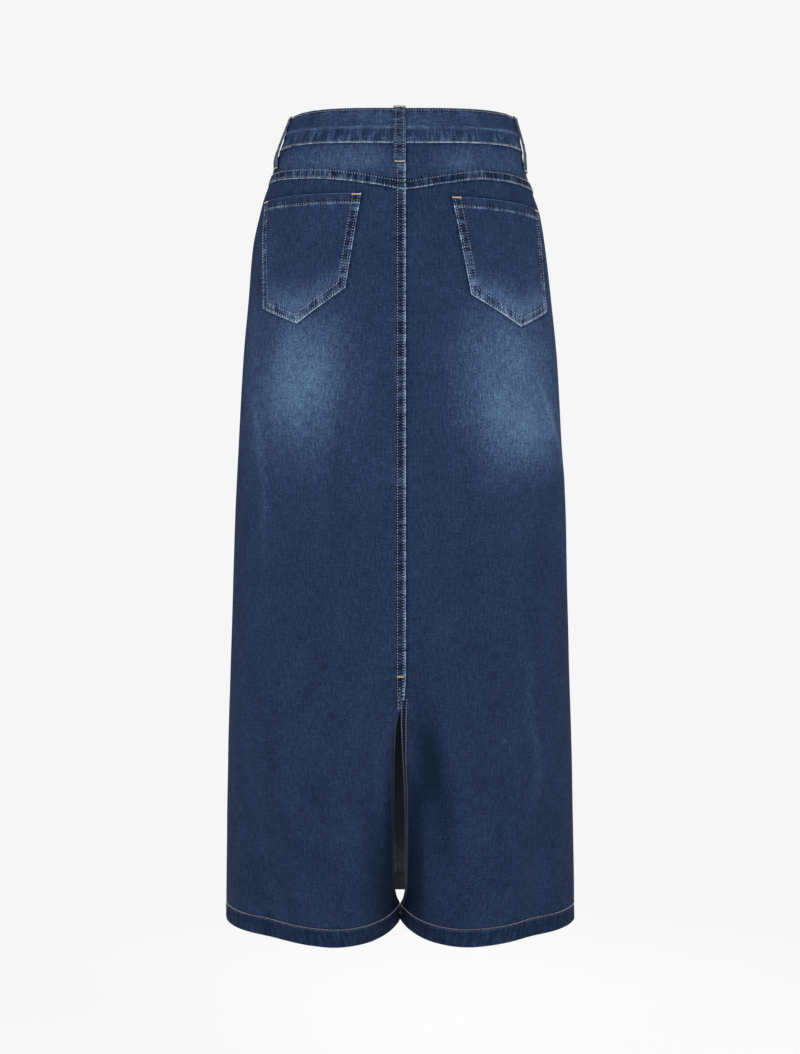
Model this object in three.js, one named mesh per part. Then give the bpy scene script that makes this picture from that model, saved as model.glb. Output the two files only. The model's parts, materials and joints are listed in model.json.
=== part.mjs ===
import * as THREE from 'three';

// A full-length denim skirt with a back slit, hollow and upright as it hangs when it is worn.
// Sizes are in millimetres. +Z is up, the wearer's left is +X and the back of the skirt faces +Y.
// The origin is the middle of the waist opening, level with the waistband's top at the side seams.
// A place on the cloth is named by its face (front or back), its side (left or right),
// `along`, the distance round the cloth from the centre seam, and `down`, the depth below the origin.

const LEFT = 1;
const RIGHT = -1;
const BACK = 1;
const FRONT = -1;

const SKIRT_LENGTH = 945;
const SEAM_GAP = 0.3;
const CLOTH = 1.4;
const HEM_DEPTH = 20;
const HEM_CLOTH = 2.6;
const FELL_WIDTH = 9.5;
const FELL_RISE = 0.7;
const FELL_CLOTH = 2.2;
const FELL_EASE = 1.5;

const WAISTBAND_HEIGHT = 42.5;
const WAISTBAND_RISE = 0.9;
const WAISTBAND_CLOTH = 2.6;
const WAISTBAND_ROUNDING = 2.5;
const WAISTBAND_FOLD = 1.2;
const UNDERLAP = 34;
const UNDERLAP_EASE = 45;
const BACK_DIP = 3.5;
const FRONT_DIP = 14;

const HIP = 260;
const SEAM_TURN = 656;
const SLIT_TOP = 669;
const SLIT_FACING = 11;
const LIFT_REACH = 95;
const CENTRE_FRONT = { edge: -5, inward: 0, turn: 0, join: 60, lift: 0 };

const LOOP_WIDTH = 13.5;
const LOOP_CLOTH = 2;
const LOOP_RISE_SHARE = 0.6;
const LOOP_FALL_SHARE = 0.3;
const LOOP_STEP_DOWN = 8;

const POCKET_CLOTH = 1.5;
const POCKET_HEM = 10;
const POCKET_HEM_CLOTH = 2.2;

const ZIP_TOP = 62;
const ZIP_BOTTOM = 205;
const ZIP_HALF_WIDTH = 15;
const ZIP_CLOTH = 1.2;
const ZIP_RECESS = 2.6;
const ZIP_SEAT = FELL_RISE - FELL_CLOTH - 2 * SEAM_GAP;
const SLIDER = { width: 8, length: 12, thickness: 1.5, top: 66 };
const PULL_TAB = { width: 4.5, length: 20 };
const BUTTON = { radius: 8.5, rim: 1.6, dome: 3.2, stem: 4, collar: 1, along: 15 };

// The plan section at each depth: half its width, how far the right side outreaches the left,
// and the depth and squareness of the back and front halves.
const FIGURE = {
  columns: ['down', 'halfWidth', 'lean', 'backDepth', 'backPower', 'frontDepth', 'frontPower'],
  rows: [
    [0, 133.8, 3.8, 95, 2.65, 96, 2.6],
    [42, 143.1, 1.1, 106.5, 3.2, 104, 2.5],
    [56, 148, -0.7, 109, 3.0, 107, 2.45],
    [70, 151.6, -0.6, 111, 2.85, 109, 2.45],
    [91, 159.3, -0.9, 115, 2.75, 112, 2.4],
    [110, 165.4, -0.2, 118.5, 2.65, 115, 2.35],
    [150, 173.4, -1.1, 124, 2.5, 119, 2.3],
    [210, 179.7, -0.3, 127.5, 2.35, 123, 2.25],
    [280, 186.5, 0, 129.5, 2.22, 126, 2.2],
    [380, 192, 0, 132, 2.1, 130, 2.15],
    [470, 196.5, 0, 135, 2.0, 134, 2.1],
    [570, 199.5, 0, 139, 1.92, 138, 2.05],
    [670, 202.5, 0, 145, 1.86, 142, 2.0],
    [760, 205, 0, 151, 1.82, 145, 2.0],
    [860, 206.5, 0, 157, 1.79, 148, 2.0],
    [945, 207.5, 0, 160, 1.79, 150, 2.0],
  ],
};

// The centre back edge of each side: where it lies across the skirt, how far it has turned in,
// its heading in degrees, where the turn begins and how much its cloth has lifted.
const CENTRE_BACK = {
  [LEFT]: {
    columns: ['down', 'edge', 'inward', 'turn', 'join', 'lift'],
    rows: [
      [656, -6.5, 0, 0, 60, 0],
      [669, -0.6, 1, 8, 55, 0],
      [677, -0.6, 2.2, 18, 53, 0],
      [700, 3.4, 9, 38, 50, 0.1],
      [742, 5.8, 27, 60, 48, 0.9],
      [790, 6.6, 49, 70, 50, 2.8],
      [862, 6.4, 78, 76, 62, 6.8],
      [898, 5.9, 91, 78, 72, 8.8],
      [907, 5.4, 94.5, 78.5, 74, 9.3],
      [917, 3.6, 98, 79.5, 76.5, 9.8],
      [928, 0.4, 101.5, 80, 78.5, 10.3],
      [945, 0.4, 106, 80, 80, 11],
    ],
  },
  [RIGHT]: {
    columns: ['down', 'edge', 'inward', 'turn', 'join', 'lift'],
    rows: [
      [656, -6.5, 0, 0, 60, 0],
      [669, -0.6, 1, 8, 55, 0],
      [695, -0.6, 6, 32, 50, 0.1],
      [742, -3.0, 24, 55, 52, 0.9],
      [790, -5.0, 45, 64, 58, 2.8],
      [862, -6.0, 73, 70, 70, 6.8],
      [898, -5.6, 86, 72, 78, 8.8],
      [907, -5.2, 89.5, 72.5, 79.3, 9.3],
      [917, -3.6, 93, 73.5, 80.5, 9.8],
      [928, -0.4, 96.5, 74.5, 82, 10.3],
      [945, -0.4, 102, 75, 84, 11],
    ],
  },
};

// The depth of the yoke seam on each side, by the distance from the centre seam.
const YOKE_SEAM = {
  columns: ['along', 'left', 'right'],
  rows: [
    [0, 101.5, 101.5],
    [50, 92, 92.5],
    [90, 86, 86.5],
    [120, 83.5, 86.5],
    [150, 81, 88],
    [240, 76, 87],
  ],
};

// Soft upright folds. Each is a short route down the cloth with its height and half width;
// a negative height is a valley. It fades out over its first and last row.
const FOLDS = [
  {
    face: BACK, side: RIGHT, height: -5, reach: 14,
    route: [[690, 22], [730, 36], [765, 49], [800, 62], [900, 80]],
  },
  {
    face: BACK, side: RIGHT, height: 2.2, reach: 13,
    route: [[715, 10], [750, 18], [790, 32], [866, 48], [935, 52]],
  },
  {
    face: BACK, side: LEFT, height: 2.0, reach: 20,
    route: [[700, 60], [790, 78], [864, 88], [945, 92]],
  },
  {
    face: BACK, side: LEFT, height: 8, reach: 48,
    route: [[700, 124], [800, 132], [900, 138], [1040, 140]],
  },
  {
    face: BACK, side: LEFT, height: -5, reach: 26,
    route: [[700, 202], [800, 208], [900, 212], [1040, 214]],
  },
  {
    face: BACK, side: RIGHT, height: 8, reach: 52,
    route: [[690, 124], [800, 132], [900, 138], [1040, 140]],
  },
  {
    face: BACK, side: RIGHT, height: -6, reach: 26,
    route: [[690, 198], [800, 204], [900, 208], [1040, 210]],
  },
  {
    face: BACK, side: LEFT, height: 2.2, reach: 22,
    route: [[290, 212], [368, 180], [518, 170], [620, 204], [760, 232]],
  },
  {
    face: BACK, side: RIGHT, height: 2.2, reach: 22,
    route: [[290, 150], [356, 190], [420, 222], [560, 236]],
  },
  {
    face: BACK, side: RIGHT, height: 1.8, reach: 22,
    route: [[600, 140], [662, 154], [746, 170], [850, 190]],
  },
  {
    face: FRONT, side: LEFT, height: -4.5, reach: 34,
    route: [[380, 70], [560, 84], [760, 104], [980, 118]],
  },
  {
    face: FRONT, side: LEFT, height: 3.5, reach: 30,
    route: [[460, 170], [640, 182], [860, 196], [1000, 204]],
  },
  {
    face: FRONT, side: RIGHT, height: -4.0, reach: 32,
    route: [[430, 96], [600, 112], [800, 138], [1000, 150]],
  },
  {
    face: FRONT, side: RIGHT, height: 3.2, reach: 30,
    route: [[540, 30], [700, 36], [860, 44], [1000, 50]],
  },
];

// Corners of the two back pockets as [along, down].
const BACK_POCKETS = {
  [LEFT]: {
    innerTop: [50, 104.5], outerTop: [184, 103],
    innerBottom: [68, 212], tip: [126, 250], outerBottom: [178, 229],
  },
  [RIGHT]: {
    innerTop: [52, 108], outerTop: [178, 112],
    innerBottom: [74, 219], tip: [137, 252], outerBottom: [189, 230],
  },
};

// Belt loops: where the middle of the strip starts and ends, how far it sways sideways and bows
// away from the waistband between them, and how far its lower end is lifted by what is under it.
const BELT_LOOPS = [
  {
    name: 'belt_loop_back', face: BACK, side: LEFT,
    top: [7, 2], bottom: [7, 70], sway: 0, bow: 3.4, lifted: FELL_RISE,
  },
  {
    name: 'belt_loop_side_left', face: BACK, side: LEFT,
    top: [157, 1], bottom: [168, 66], sway: 7, bow: 1.7, lifted: 0.4,
  },
  {
    name: 'belt_loop_side_right', face: BACK, side: RIGHT,
    top: [148, 1], bottom: [163, 68], sway: 6, bow: 2.0, lifted: 0.4,
  },
  {
    name: 'belt_loop_front_left', face: FRONT, side: LEFT,
    top: [98, 7], bottom: [104, 72], sway: 0, bow: 3.4, lifted: 0.2,
  },
  {
    name: 'belt_loop_front_right', face: FRONT, side: RIGHT,
    top: [88, 7], bottom: [94, 72], sway: 0, bow: 3.4, lifted: 0.2,
  },
];

const DENIM = { color: 0x27365a, roughness: 0.9, metalness: 0 };
const DENIM_PALE = { color: 0x2f4268, roughness: 0.9, metalness: 0 };
const DENIM_LOOP = { color: 0x33425f, roughness: 0.9, metalness: 0 };
const ZIP_TAPE = { color: 0x1c2436, roughness: 0.8, metalness: 0 };
const BRASS = { color: 0x9a7b4c, roughness: 0.4, metalness: 0.9 };

const PLAN_STEPS = 40;
const HEADING_PULL = 1.1;
const ARRIVAL_PULL = 0.9;
const PROBE = 0.5;
const BACK_COLUMNS = 17;
const FRONT_COLUMNS = 14;
const WAISTBAND_COLUMNS = 14;

// A smooth value read from [place, value] pairs, without overshoot between them.
function smoothAt(pairs, at) {
  const last = pairs.length - 1;
  const clamped = Math.min(Math.max(at, pairs[0][0]), pairs[last][0]);
  let index = 0;
  while (index < last - 1 && clamped >= pairs[index + 1][0]) index += 1;
  const slopes = pairs.slice(1).map(([place, value], k) => (value - pairs[k][1]) / (place - pairs[k][0]));
  const slopeAt = (k) => {
    if (k === 0) return slopes[0];
    if (k === last) return slopes[last - 1];
    const product = slopes[k - 1] * slopes[k];
    return product > 0 ? (2 * product) / (slopes[k - 1] + slopes[k]) : 0;
  };
  const width = pairs[index + 1][0] - pairs[index][0];
  const t = (clamped - pairs[index][0]) / width;
  return hermite(t, pairs[index][1], slopeAt(index) * width, pairs[index + 1][1], slopeAt(index + 1) * width);
}

function hermite(t, start, startSlope, end, endSlope) {
  const t2 = t * t;
  const t3 = t2 * t;
  return (2 * t3 - 3 * t2 + 1) * start + (t3 - 2 * t2 + t) * startSlope
    + (3 * t2 - 2 * t3) * end + (t3 - t2) * endSlope;
}

function readTable({ columns, rows }, column, at) {
  const index = columns.indexOf(column);
  return smoothAt(rows.map((row) => [row[0], row[index]]), at);
}

function easeInOut(value) {
  const t = Math.min(Math.max(value, 0), 1);
  return t * t * (3 - 2 * t);
}

function centreEdge(face, side, down) {
  if (face === FRONT) return CENTRE_FRONT;
  const table = CENTRE_BACK[side];
  const edge = {};
  for (const column of table.columns.slice(1)) edge[column] = readTable(table, column, down);
  return edge;
}

// Half of one face in plan: a squared ellipse from the side seam to the join, then a curve
// that leads to the centre edge at its own heading.
const plans = new Map();
function planOf(face, side, down) {
  const key = `${face} ${side} ${down.toFixed(4)}`;
  if (plans.has(key)) return plans.get(key);
  const halfWidth = readTable(FIGURE, 'halfWidth', down) - side * readTable(FIGURE, 'lean', down);
  const depth = readTable(FIGURE, face === BACK ? 'backDepth' : 'frontDepth', down);
  const power = readTable(FIGURE, face === BACK ? 'backPower' : 'frontPower', down);
  const { edge, inward, turn, join, lift } = centreEdge(face, side, down);

  const start = new THREE.Vector2(edge * side, depth - inward);
  const end = new THREE.Vector2(join, depth * (1 - (join / halfWidth) ** power) ** (1 / power));
  const slope = -((depth / halfWidth) ** power) * (end.x / end.y) ** (power - 1);
  const reach = start.distanceTo(end);
  const heading = new THREE.Vector2(Math.cos(turn), Math.sin(turn)).multiplyScalar(reach * HEADING_PULL);
  const arrival = new THREE.Vector2(1, slope).normalize().multiplyScalar(reach * ARRIVAL_PULL);

  const points = [];
  for (let k = 0; k <= PLAN_STEPS; k += 1) {
    const t = k / PLAN_STEPS;
    points.push(new THREE.Vector2(
      hermite(t, start.x, heading.x, end.x, arrival.x),
      hermite(t, start.y, heading.y, end.y, arrival.y),
    ));
  }
  const joinAngle = Math.acos((join / halfWidth) ** (power / 2));
  for (let k = 1; k <= 2 * PLAN_STEPS; k += 1) {
    const angle = joinAngle * (1 - k / (2 * PLAN_STEPS));
    const across = halfWidth * Math.cos(angle) ** (2 / power);
    points.push(new THREE.Vector2(across, depth * Math.sin(angle) ** (2 / power)));
  }
  const lengths = [0];
  for (let k = 1; k < points.length; k += 1) {
    lengths.push(lengths[k - 1] + points[k].distanceTo(points[k - 1]));
  }
  const plan = { points, lengths, width: lengths[lengths.length - 1], lift };
  plans.set(key, plan);
  return plan;
}

function foldHeight(face, side, along, down) {
  let height = 0;
  for (const fold of FOLDS) {
    if (fold.face !== face || fold.side !== side) continue;
    const { route } = fold;
    const top = route[0][0];
    const bottom = route[route.length - 1][0];
    if (down <= top || down >= bottom) continue;
    const fade = easeInOut((down - top) / (route[1][0] - top))
      * easeInOut((bottom - down) / (bottom - route[route.length - 2][0]));
    const distance = (along - smoothAt(route, down)) / fold.reach;
    height += fold.height * fade * Math.exp(-distance * distance);
  }
  return height;
}

// A point on the outside of a single layer of cloth.
function skin(face, side, along, down) {
  const { points, lengths, width, lift } = planOf(face, side, down);
  let index = 1;
  while (index < lengths.length - 1 && lengths[index] < along) index += 1;
  const from = points[index - 1];
  const to = points[index];
  const step = lengths[index] - lengths[index - 1];
  const t = (along - lengths[index - 1]) / step;
  const push = foldHeight(face, side, along, down);
  const x = from.x + (to.x - from.x) * t - ((to.y - from.y) / step) * push;
  const y = from.y + (to.y - from.y) * t + ((to.x - from.x) / step) * push;
  const rise = lift * Math.max(0, 1 - Math.min(along, width) / LIFT_REACH) ** 2;
  return new THREE.Vector3(x * side, y * face, rise - down);
}

// The outward direction of the cloth there.
function outward(face, side, along, down) {
  const across = skin(face, side, along + PROBE, down).sub(skin(face, side, along - PROBE, down));
  const upward = skin(face, side, along, down - PROBE).sub(skin(face, side, along, down + PROBE));
  return across.cross(upward).multiplyScalar(-face * side).normalize();
}

function raised(face, side, along, down, height) {
  return skin(face, side, along, down).addScaledVector(outward(face, side, along, down), height);
}

function widthAt(face, side, down) {
  return planOf(face, side, down).width;
}

function waistTop(face, fraction) {
  const dip = face === BACK ? BACK_DIP : FRONT_DIP;
  return (dip * (1 + Math.cos(Math.PI * fraction))) / 2;
}

function waistbandBottom(face, fraction) {
  return waistTop(face, fraction) + WAISTBAND_HEIGHT;
}

// A closed wall between a grid of outer points and a grid of inner points.
function wall(name, look, outer, inner) {
  const rows = outer.length;
  const columns = outer[0].length;
  const vertices = [...outer.flat(), ...inner.flat()];
  const outerAt = (i, j) => i * columns + j;
  const innerAt = (i, j) => rows * columns + i * columns + j;
  const triangles = [];
  const quad = (a, b, c, d) => triangles.push(a, b, c, a, c, d);
  for (let i = 0; i < rows - 1; i += 1) {
    for (let j = 0; j < columns - 1; j += 1) {
      quad(outerAt(i, j), outerAt(i + 1, j), outerAt(i + 1, j + 1), outerAt(i, j + 1));
      quad(innerAt(i, j), innerAt(i, j + 1), innerAt(i + 1, j + 1), innerAt(i + 1, j));
    }
  }
  const ring = [];
  for (let j = 0; j < columns - 1; j += 1) ring.push([0, j]);
  for (let i = 0; i < rows - 1; i += 1) ring.push([i, columns - 1]);
  for (let j = columns - 1; j > 0; j -= 1) ring.push([rows - 1, j]);
  for (let i = rows - 1; i > 0; i -= 1) ring.push([i, 0]);
  ring.forEach(([i, j], k) => {
    const [nextI, nextJ] = ring[(k + 1) % ring.length];
    quad(outerAt(i, j), outerAt(nextI, nextJ), innerAt(nextI, nextJ), innerAt(i, j));
  });
  if (enclosedVolume(vertices, triangles) < 0) triangles.reverse();
  const geometry = new THREE.BufferGeometry().setFromPoints(vertices);
  geometry.setIndex(triangles);
  geometry.computeVertexNormals();
  return namedMesh(name, geometry, look);
}

function enclosedVolume(vertices, triangles) {
  let volume = 0;
  for (let k = 0; k < triangles.length; k += 3) {
    const [a, b, c] = triangles.slice(k, k + 3).map((index) => vertices[index]);
    volume += a.dot(b.clone().cross(c)) / 6;
  }
  return volume;
}

function namedMesh(name, geometry, look) {
  const mesh = new THREE.Mesh(geometry, new THREE.MeshStandardMaterial(look));
  mesh.name = name;
  return mesh;
}

// Places from `start` to `end` in even steps, without the first one.
function evenSteps(start, end, count) {
  return Array.from({ length: count }, (_, k) => start + ((end - start) * (k + 1)) / count);
}

// A panel or yoke half between two lines across the cloth. `columnsAt` gives its columns from
// the centre seam for the cloth's width there, `rowsAt` gives its rows as depths, and
// `layersAt` gives how far the cloth rises outside and how thick it is.
function panel(name, look, face, side, { columnsAt, rowsAt, layersAt }) {
  const columnCount = columnsAt(widthAt(face, side, SLIT_TOP)).length;
  const rowCount = rowsAt(0, 0).length;
  const outer = [];
  const inner = [];
  for (let i = 0; i < rowCount; i += 1) {
    outer.push([]);
    inner.push([]);
    for (let j = 0; j < columnCount; j += 1) {
      const guess = columnsAt(widthAt(face, side, SLIT_TOP))[j] / widthAt(face, side, SLIT_TOP);
      const down = rowsAt(guess, guess * widthAt(face, side, SLIT_TOP))[i];
      const along = columnsAt(widthAt(face, side, down))[j];
      const { rise, cloth } = layersAt(along, down, i);
      outer[i].push(raised(face, side, along, down, rise));
      inner[i].push(raised(face, side, along, down, rise - cloth));
    }
  }
  return wall(name, look, outer, inner);
}

const seamEdge = SEAM_GAP / 2;

function columnsFrom(fixed, count) {
  return (width) => [...fixed, ...evenSteps(fixed[fixed.length - 1], width - seamEdge, count)];
}

const fellColumns = [seamEdge, FELL_WIDTH, FELL_WIDTH + FELL_EASE];

// How much of the doubled cloth of a seam strip is left at this distance from its edge.
function stripShare(distance, width) {
  return 1 - Math.min(Math.max((distance - width) / FELL_EASE, 0), 1);
}

function backPanel(side) {
  const name = side === LEFT ? 'back_panel_left' : 'back_panel_right';
  const top = (along) => readTable(YOKE_SEAM, side === LEFT ? 'left' : 'right', along) + seamEdge;
  const hemRows = [SKIRT_LENGTH - HEM_DEPTH - FELL_EASE, SKIRT_LENGTH - HEM_DEPTH, SKIRT_LENGTH];
  const rowsAt = (fraction, along) => [
    top(along), ...evenSteps(top(along), HIP, 5), ...evenSteps(HIP, SEAM_TURN, 7),
    ...evenSteps(SEAM_TURN, SLIT_TOP, 2), ...evenSteps(SLIT_TOP, hemRows[0], 8), hemRows[1], hemRows[2],
  ];
  const layersAt = (along, down) => {
    const seam = side === LEFT && down <= SLIT_TOP ? stripShare(along, FELL_WIDTH) : 0;
    const facing = down > SLIT_TOP ? stripShare(along, SLIT_FACING) : 0;
    const hem = stripShare(SKIRT_LENGTH - down, HEM_DEPTH);
    const extra = Math.max(seam * (FELL_CLOTH - CLOTH), Math.max(facing, hem) * (HEM_CLOTH - CLOTH));
    return { rise: seam * FELL_RISE, cloth: CLOTH + extra };
  };
  const columnsAt = columnsFrom(fellColumns, BACK_COLUMNS);
  return panel(name, DENIM, BACK, side, { columnsAt, rowsAt, layersAt });
}

function backYoke(side) {
  const name = side === LEFT ? 'back_yoke_left' : 'back_yoke_right';
  const bottom = (along) => readTable(YOKE_SEAM, side === LEFT ? 'left' : 'right', along) - seamEdge;
  const rowsAt = (fraction, along) => {
    const top = waistbandBottom(BACK, fraction) + seamEdge;
    const strip = bottom(along) - FELL_WIDTH;
    const start = strip - FELL_EASE;
    return [top, (top + start) / 2, start, strip, bottom(along)];
  };
  const layersAt = (along, down, row) => {
    const seam = row >= 3 ? 1 : 0;
    const centre = side === LEFT ? stripShare(along, FELL_WIDTH) : 0;
    const share = Math.max(seam, centre);
    return { rise: share * FELL_RISE, cloth: CLOTH + share * (FELL_CLOTH - CLOTH) };
  };
  const columnsAt = columnsFrom(fellColumns, BACK_COLUMNS);
  return panel(name, DENIM_PALE, BACK, side, { columnsAt, rowsAt, layersAt });
}

function frontPanel(side) {
  const name = side === LEFT ? 'front_panel_left' : 'front_panel_right';
  const rowsAt = (fraction) => {
    const top = waistbandBottom(FRONT, fraction) + seamEdge;
    const hem = SKIRT_LENGTH - HEM_DEPTH;
    return [top, ...evenSteps(top, HIP, 4), ...evenSteps(HIP, hem - FELL_EASE, 9), hem, SKIRT_LENGTH];
  };
  const layersAt = (along, down) => {
    const seam = side === LEFT ? stripShare(along, FELL_WIDTH) : 0;
    const hem = stripShare(SKIRT_LENGTH - down, HEM_DEPTH);
    const extra = Math.max(seam * (FELL_CLOTH - CLOTH), hem * (HEM_CLOTH - CLOTH));
    return { rise: seam * FELL_RISE, cloth: CLOTH + extra };
  };
  const columnsAt = columnsFrom(fellColumns, FRONT_COLUMNS);
  return panel(name, DENIM, FRONT, side, { columnsAt, rowsAt, layersAt });
}

// The waistband runs from its closed front edge round the left side, the back and the right
// side, and then on under its own front edge.
function waistband() {
  const quarterSteps = [0, ...evenSteps(0, 1, WAISTBAND_COLUMNS)];
  const stations = [];
  const addQuarter = (face, side, fractions) => {
    fractions.forEach((fraction) => stations.push({ face, side, fraction, extra: 0 }));
  };
  addQuarter(FRONT, LEFT, quarterSteps.slice(0, -1));
  addQuarter(BACK, LEFT, quarterSteps.slice(1).reverse());
  addQuarter(BACK, RIGHT, quarterSteps.slice(0, -1));
  addQuarter(FRONT, RIGHT, [...quarterSteps].reverse());
  evenSteps(0, UNDERLAP, 3).forEach((extra) => {
    stations.push({ face: FRONT, side: LEFT, fraction: 0, extra });
  });

  const rows = [
    { drop: 0, rise: WAISTBAND_RISE - (WAISTBAND_CLOTH - WAISTBAND_FOLD) / 2, cloth: WAISTBAND_FOLD },
    { drop: WAISTBAND_ROUNDING, rise: WAISTBAND_RISE, cloth: WAISTBAND_CLOTH },
    { drop: WAISTBAND_HEIGHT / 2, rise: WAISTBAND_RISE, cloth: WAISTBAND_CLOTH },
    { drop: WAISTBAND_HEIGHT - seamEdge, rise: WAISTBAND_RISE, cloth: WAISTBAND_CLOTH },
  ];
  const outer = rows.map(() => []);
  const inner = rows.map(() => []);
  rows.forEach(({ drop, rise, cloth }, row) => {
    for (const { face, side, fraction, extra } of stations) {
      const down = waistTop(face, fraction) + drop;
      const along = fraction * widthAt(face, side, down) + extra;
      const beneath = WAISTBAND_CLOTH + SEAM_GAP;
      const toEnd = face === FRONT && side === RIGHT ? along : 0;
      const isUnder = extra > 0 || (face === FRONT && side === RIGHT);
      const sink = isUnder ? beneath * (1 - easeInOut(toEnd / UNDERLAP_EASE)) : 0;
      outer[row].push(raised(face, side, along, down, rise - sink));
      inner[row].push(raised(face, side, along, down, rise - sink - cloth));
    }
  });
  return wall('waistband', DENIM_PALE, outer, inner);
}

// A strip that is sewn down at both ends and bows away from the waistband between them.
function beltLoop({ name, face, side, top, bottom, sway, bow, lifted }) {
  const steps = [0, 0.06, 0.16, 0.3, 0.45, 0.6, 0.74, 0.86, 0.94, 1];
  const outer = [];
  const inner = [];
  for (const t of steps) {
    const along = top[0] + (bottom[0] - top[0]) * t + sway * Math.sin(Math.PI * t);
    const down = top[1] + (bottom[1] - top[1]) * t;
    const bandEdge = waistbandBottom(face, along / widthAt(face, side, down));
    const overBand = 1 - easeInOut((down - bandEdge - 1) / LOOP_STEP_DOWN);
    const bowed = bow * easeInOut(t / LOOP_RISE_SHARE) * easeInOut((1 - t) / LOOP_FALL_SHARE);
    const seat = SEAM_GAP + lifted + (WAISTBAND_RISE - lifted) * overBand + bowed;
    const row = [-0.5, 0, 0.5].map((share) => along + share * LOOP_WIDTH);
    outer.push(row.map((place) => raised(face, side, place, down, seat + LOOP_CLOTH)));
    inner.push(row.map((place) => raised(face, side, place, down, seat)));
  }
  return wall(name, DENIM_LOOP, outer, inner);
}

// A five-sided patch pocket, made from the back panel's own points moved out.
function backPocket(side) {
  const name = side === LEFT ? 'back_pocket_left' : 'back_pocket_right';
  const { innerTop, outerTop, innerBottom, tip, outerBottom } = BACK_POCKETS[side];
  const mix = (a, b, t) => [a[0] + (b[0] - a[0]) * t, a[1] + (b[1] - a[1]) * t];
  const tipShare = (tip[0] - innerBottom[0]) / (outerBottom[0] - innerBottom[0]);
  const columns = [0, ...evenSteps(0, tipShare, 5), ...evenSteps(tipShare, 1, 5)];
  const bottomAt = (share) => (share <= tipShare
    ? mix(innerBottom, tip, share / tipShare)
    : mix(tip, outerBottom, (share - tipShare) / (1 - tipShare)));
  const depth = innerBottom[1] - innerTop[1];
  const bandEnd = (POCKET_HEM + FELL_EASE) / depth;
  const rows = [0, POCKET_HEM / depth, bandEnd, ...evenSteps(bandEnd, 1, 8)];
  const outer = [];
  const inner = [];
  rows.forEach((share, row) => {
    const places = columns.map((column) => mix(mix(innerTop, outerTop, column), bottomAt(column), share));
    const cloth = row < 2 ? POCKET_HEM_CLOTH : POCKET_CLOTH;
    outer.push(places.map(([along, down]) => raised(BACK, side, along, down, SEAM_GAP + cloth)));
    inner.push(places.map(([along, down]) => raised(BACK, side, along, down, SEAM_GAP)));
  });
  return wall(name, DENIM, outer, inner);
}

// The zip lies behind the centre front seam. Its tape dips inwards in the middle, where the
// teeth and the slider are, and its long edges meet the inside of the panels.
function zip() {
  const shares = [-1, -0.66, -0.3, 0, 0.3, 0.66, 1];
  const dips = [0, 0, 1, 1, 1, 0, 0];
  const downs = [ZIP_TOP, ...evenSteps(ZIP_TOP, ZIP_BOTTOM, 8)];
  const gridAt = (height) => downs.map((down) => shares.map((share, k) => {
    const side = share < 0 ? RIGHT : LEFT;
    return raised(FRONT, side, Math.abs(share) * ZIP_HALF_WIDTH, down, height - dips[k] * ZIP_RECESS);
  }));
  const outer = gridAt(ZIP_SEAT);
  const inner = gridAt(ZIP_SEAT - ZIP_CLOTH);
  return wall('zip', ZIP_TAPE, outer, inner);
}

// The slider's front plate and its pull tab, closed at the top of the zip.
function zipSlider() {
  const { width, length, thickness, top } = SLIDER;
  const shape = new THREE.Shape();
  const shoulder = width / 2;
  const tab = PULL_TAB.width / 2;
  shape.moveTo(-shoulder, 0);
  shape.lineTo(-shoulder * 0.7, -length);
  shape.lineTo(-tab, -length);
  shape.lineTo(-tab, -length - PULL_TAB.length + tab);
  shape.absarc(0, -length - PULL_TAB.length + tab, tab, Math.PI, 2 * Math.PI, false);
  shape.lineTo(tab, -length);
  shape.lineTo(shoulder * 0.7, -length);
  shape.lineTo(shoulder, 0);
  const options = { depth: thickness, bevelEnabled: false, curveSegments: 6 };
  const mesh = namedMesh('zip_slider', new THREE.ExtrudeGeometry(shape, options), BRASS);
  const seat = ZIP_SEAT - ZIP_RECESS + SEAM_GAP;
  const upper = raised(FRONT, LEFT, 0, top, seat);
  const lower = raised(FRONT, LEFT, 0, top + length + PULL_TAB.length, seat);
  mesh.position.copy(upper);
  mesh.rotation.x = Math.PI / 2 - Math.atan2(upper.y - lower.y, upper.z - lower.z);
  return mesh;
}

// A domed tack button on the overlap of the waistband.
function waistButton() {
  const { radius, rim, dome, stem, collar, along } = BUTTON;
  const profile = [
    new THREE.Vector2(0, 0), new THREE.Vector2(stem, 0), new THREE.Vector2(stem, collar),
    new THREE.Vector2(radius - 0.5, collar), new THREE.Vector2(radius, collar + 0.5),
    new THREE.Vector2(radius, collar + rim), new THREE.Vector2(radius * 0.8, collar + dome - 0.5),
    new THREE.Vector2(radius * 0.4, collar + dome), new THREE.Vector2(0, collar + dome),
  ];
  const mesh = namedMesh('waist_button', new THREE.LatheGeometry(profile, 24), BRASS);
  const down = waistTop(FRONT, 0) + WAISTBAND_HEIGHT / 2;
  const facing = outward(FRONT, LEFT, along, down);
  mesh.position.copy(raised(FRONT, LEFT, along, down, WAISTBAND_RISE + SEAM_GAP));
  mesh.quaternion.setFromUnitVectors(new THREE.Vector3(0, 1, 0), facing);
  return mesh;
}

// Headings are stated in degrees in the tables and used in radians.
for (const side of [LEFT, RIGHT]) {
  const column = CENTRE_BACK[side].columns.indexOf('turn');
  CENTRE_BACK[side].rows.forEach((row) => { row[column] = THREE.MathUtils.degToRad(row[column]); });
}

const skirt = new THREE.Group();
skirt.name = 'denim_skirt';
skirt.add(waistband());
for (const side of [LEFT, RIGHT]) {
  skirt.add(backYoke(side), backPanel(side), frontPanel(side), backPocket(side));
}
skirt.add(...BELT_LOOPS.map(beltLoop), zip(), zipSlider(), waistButton());

export default skirt;
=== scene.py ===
"""A full-length denim skirt seen from the back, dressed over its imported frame.

Sizes on the cloth are in millimetres: `along` is the distance round the cloth from a centre
seam, `down` is the depth below the middle of the waist opening, and `height` is how far a
point stands out from the cloth. Sizes in the tool's own fields are in metres.
"""

import json
import math

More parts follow.
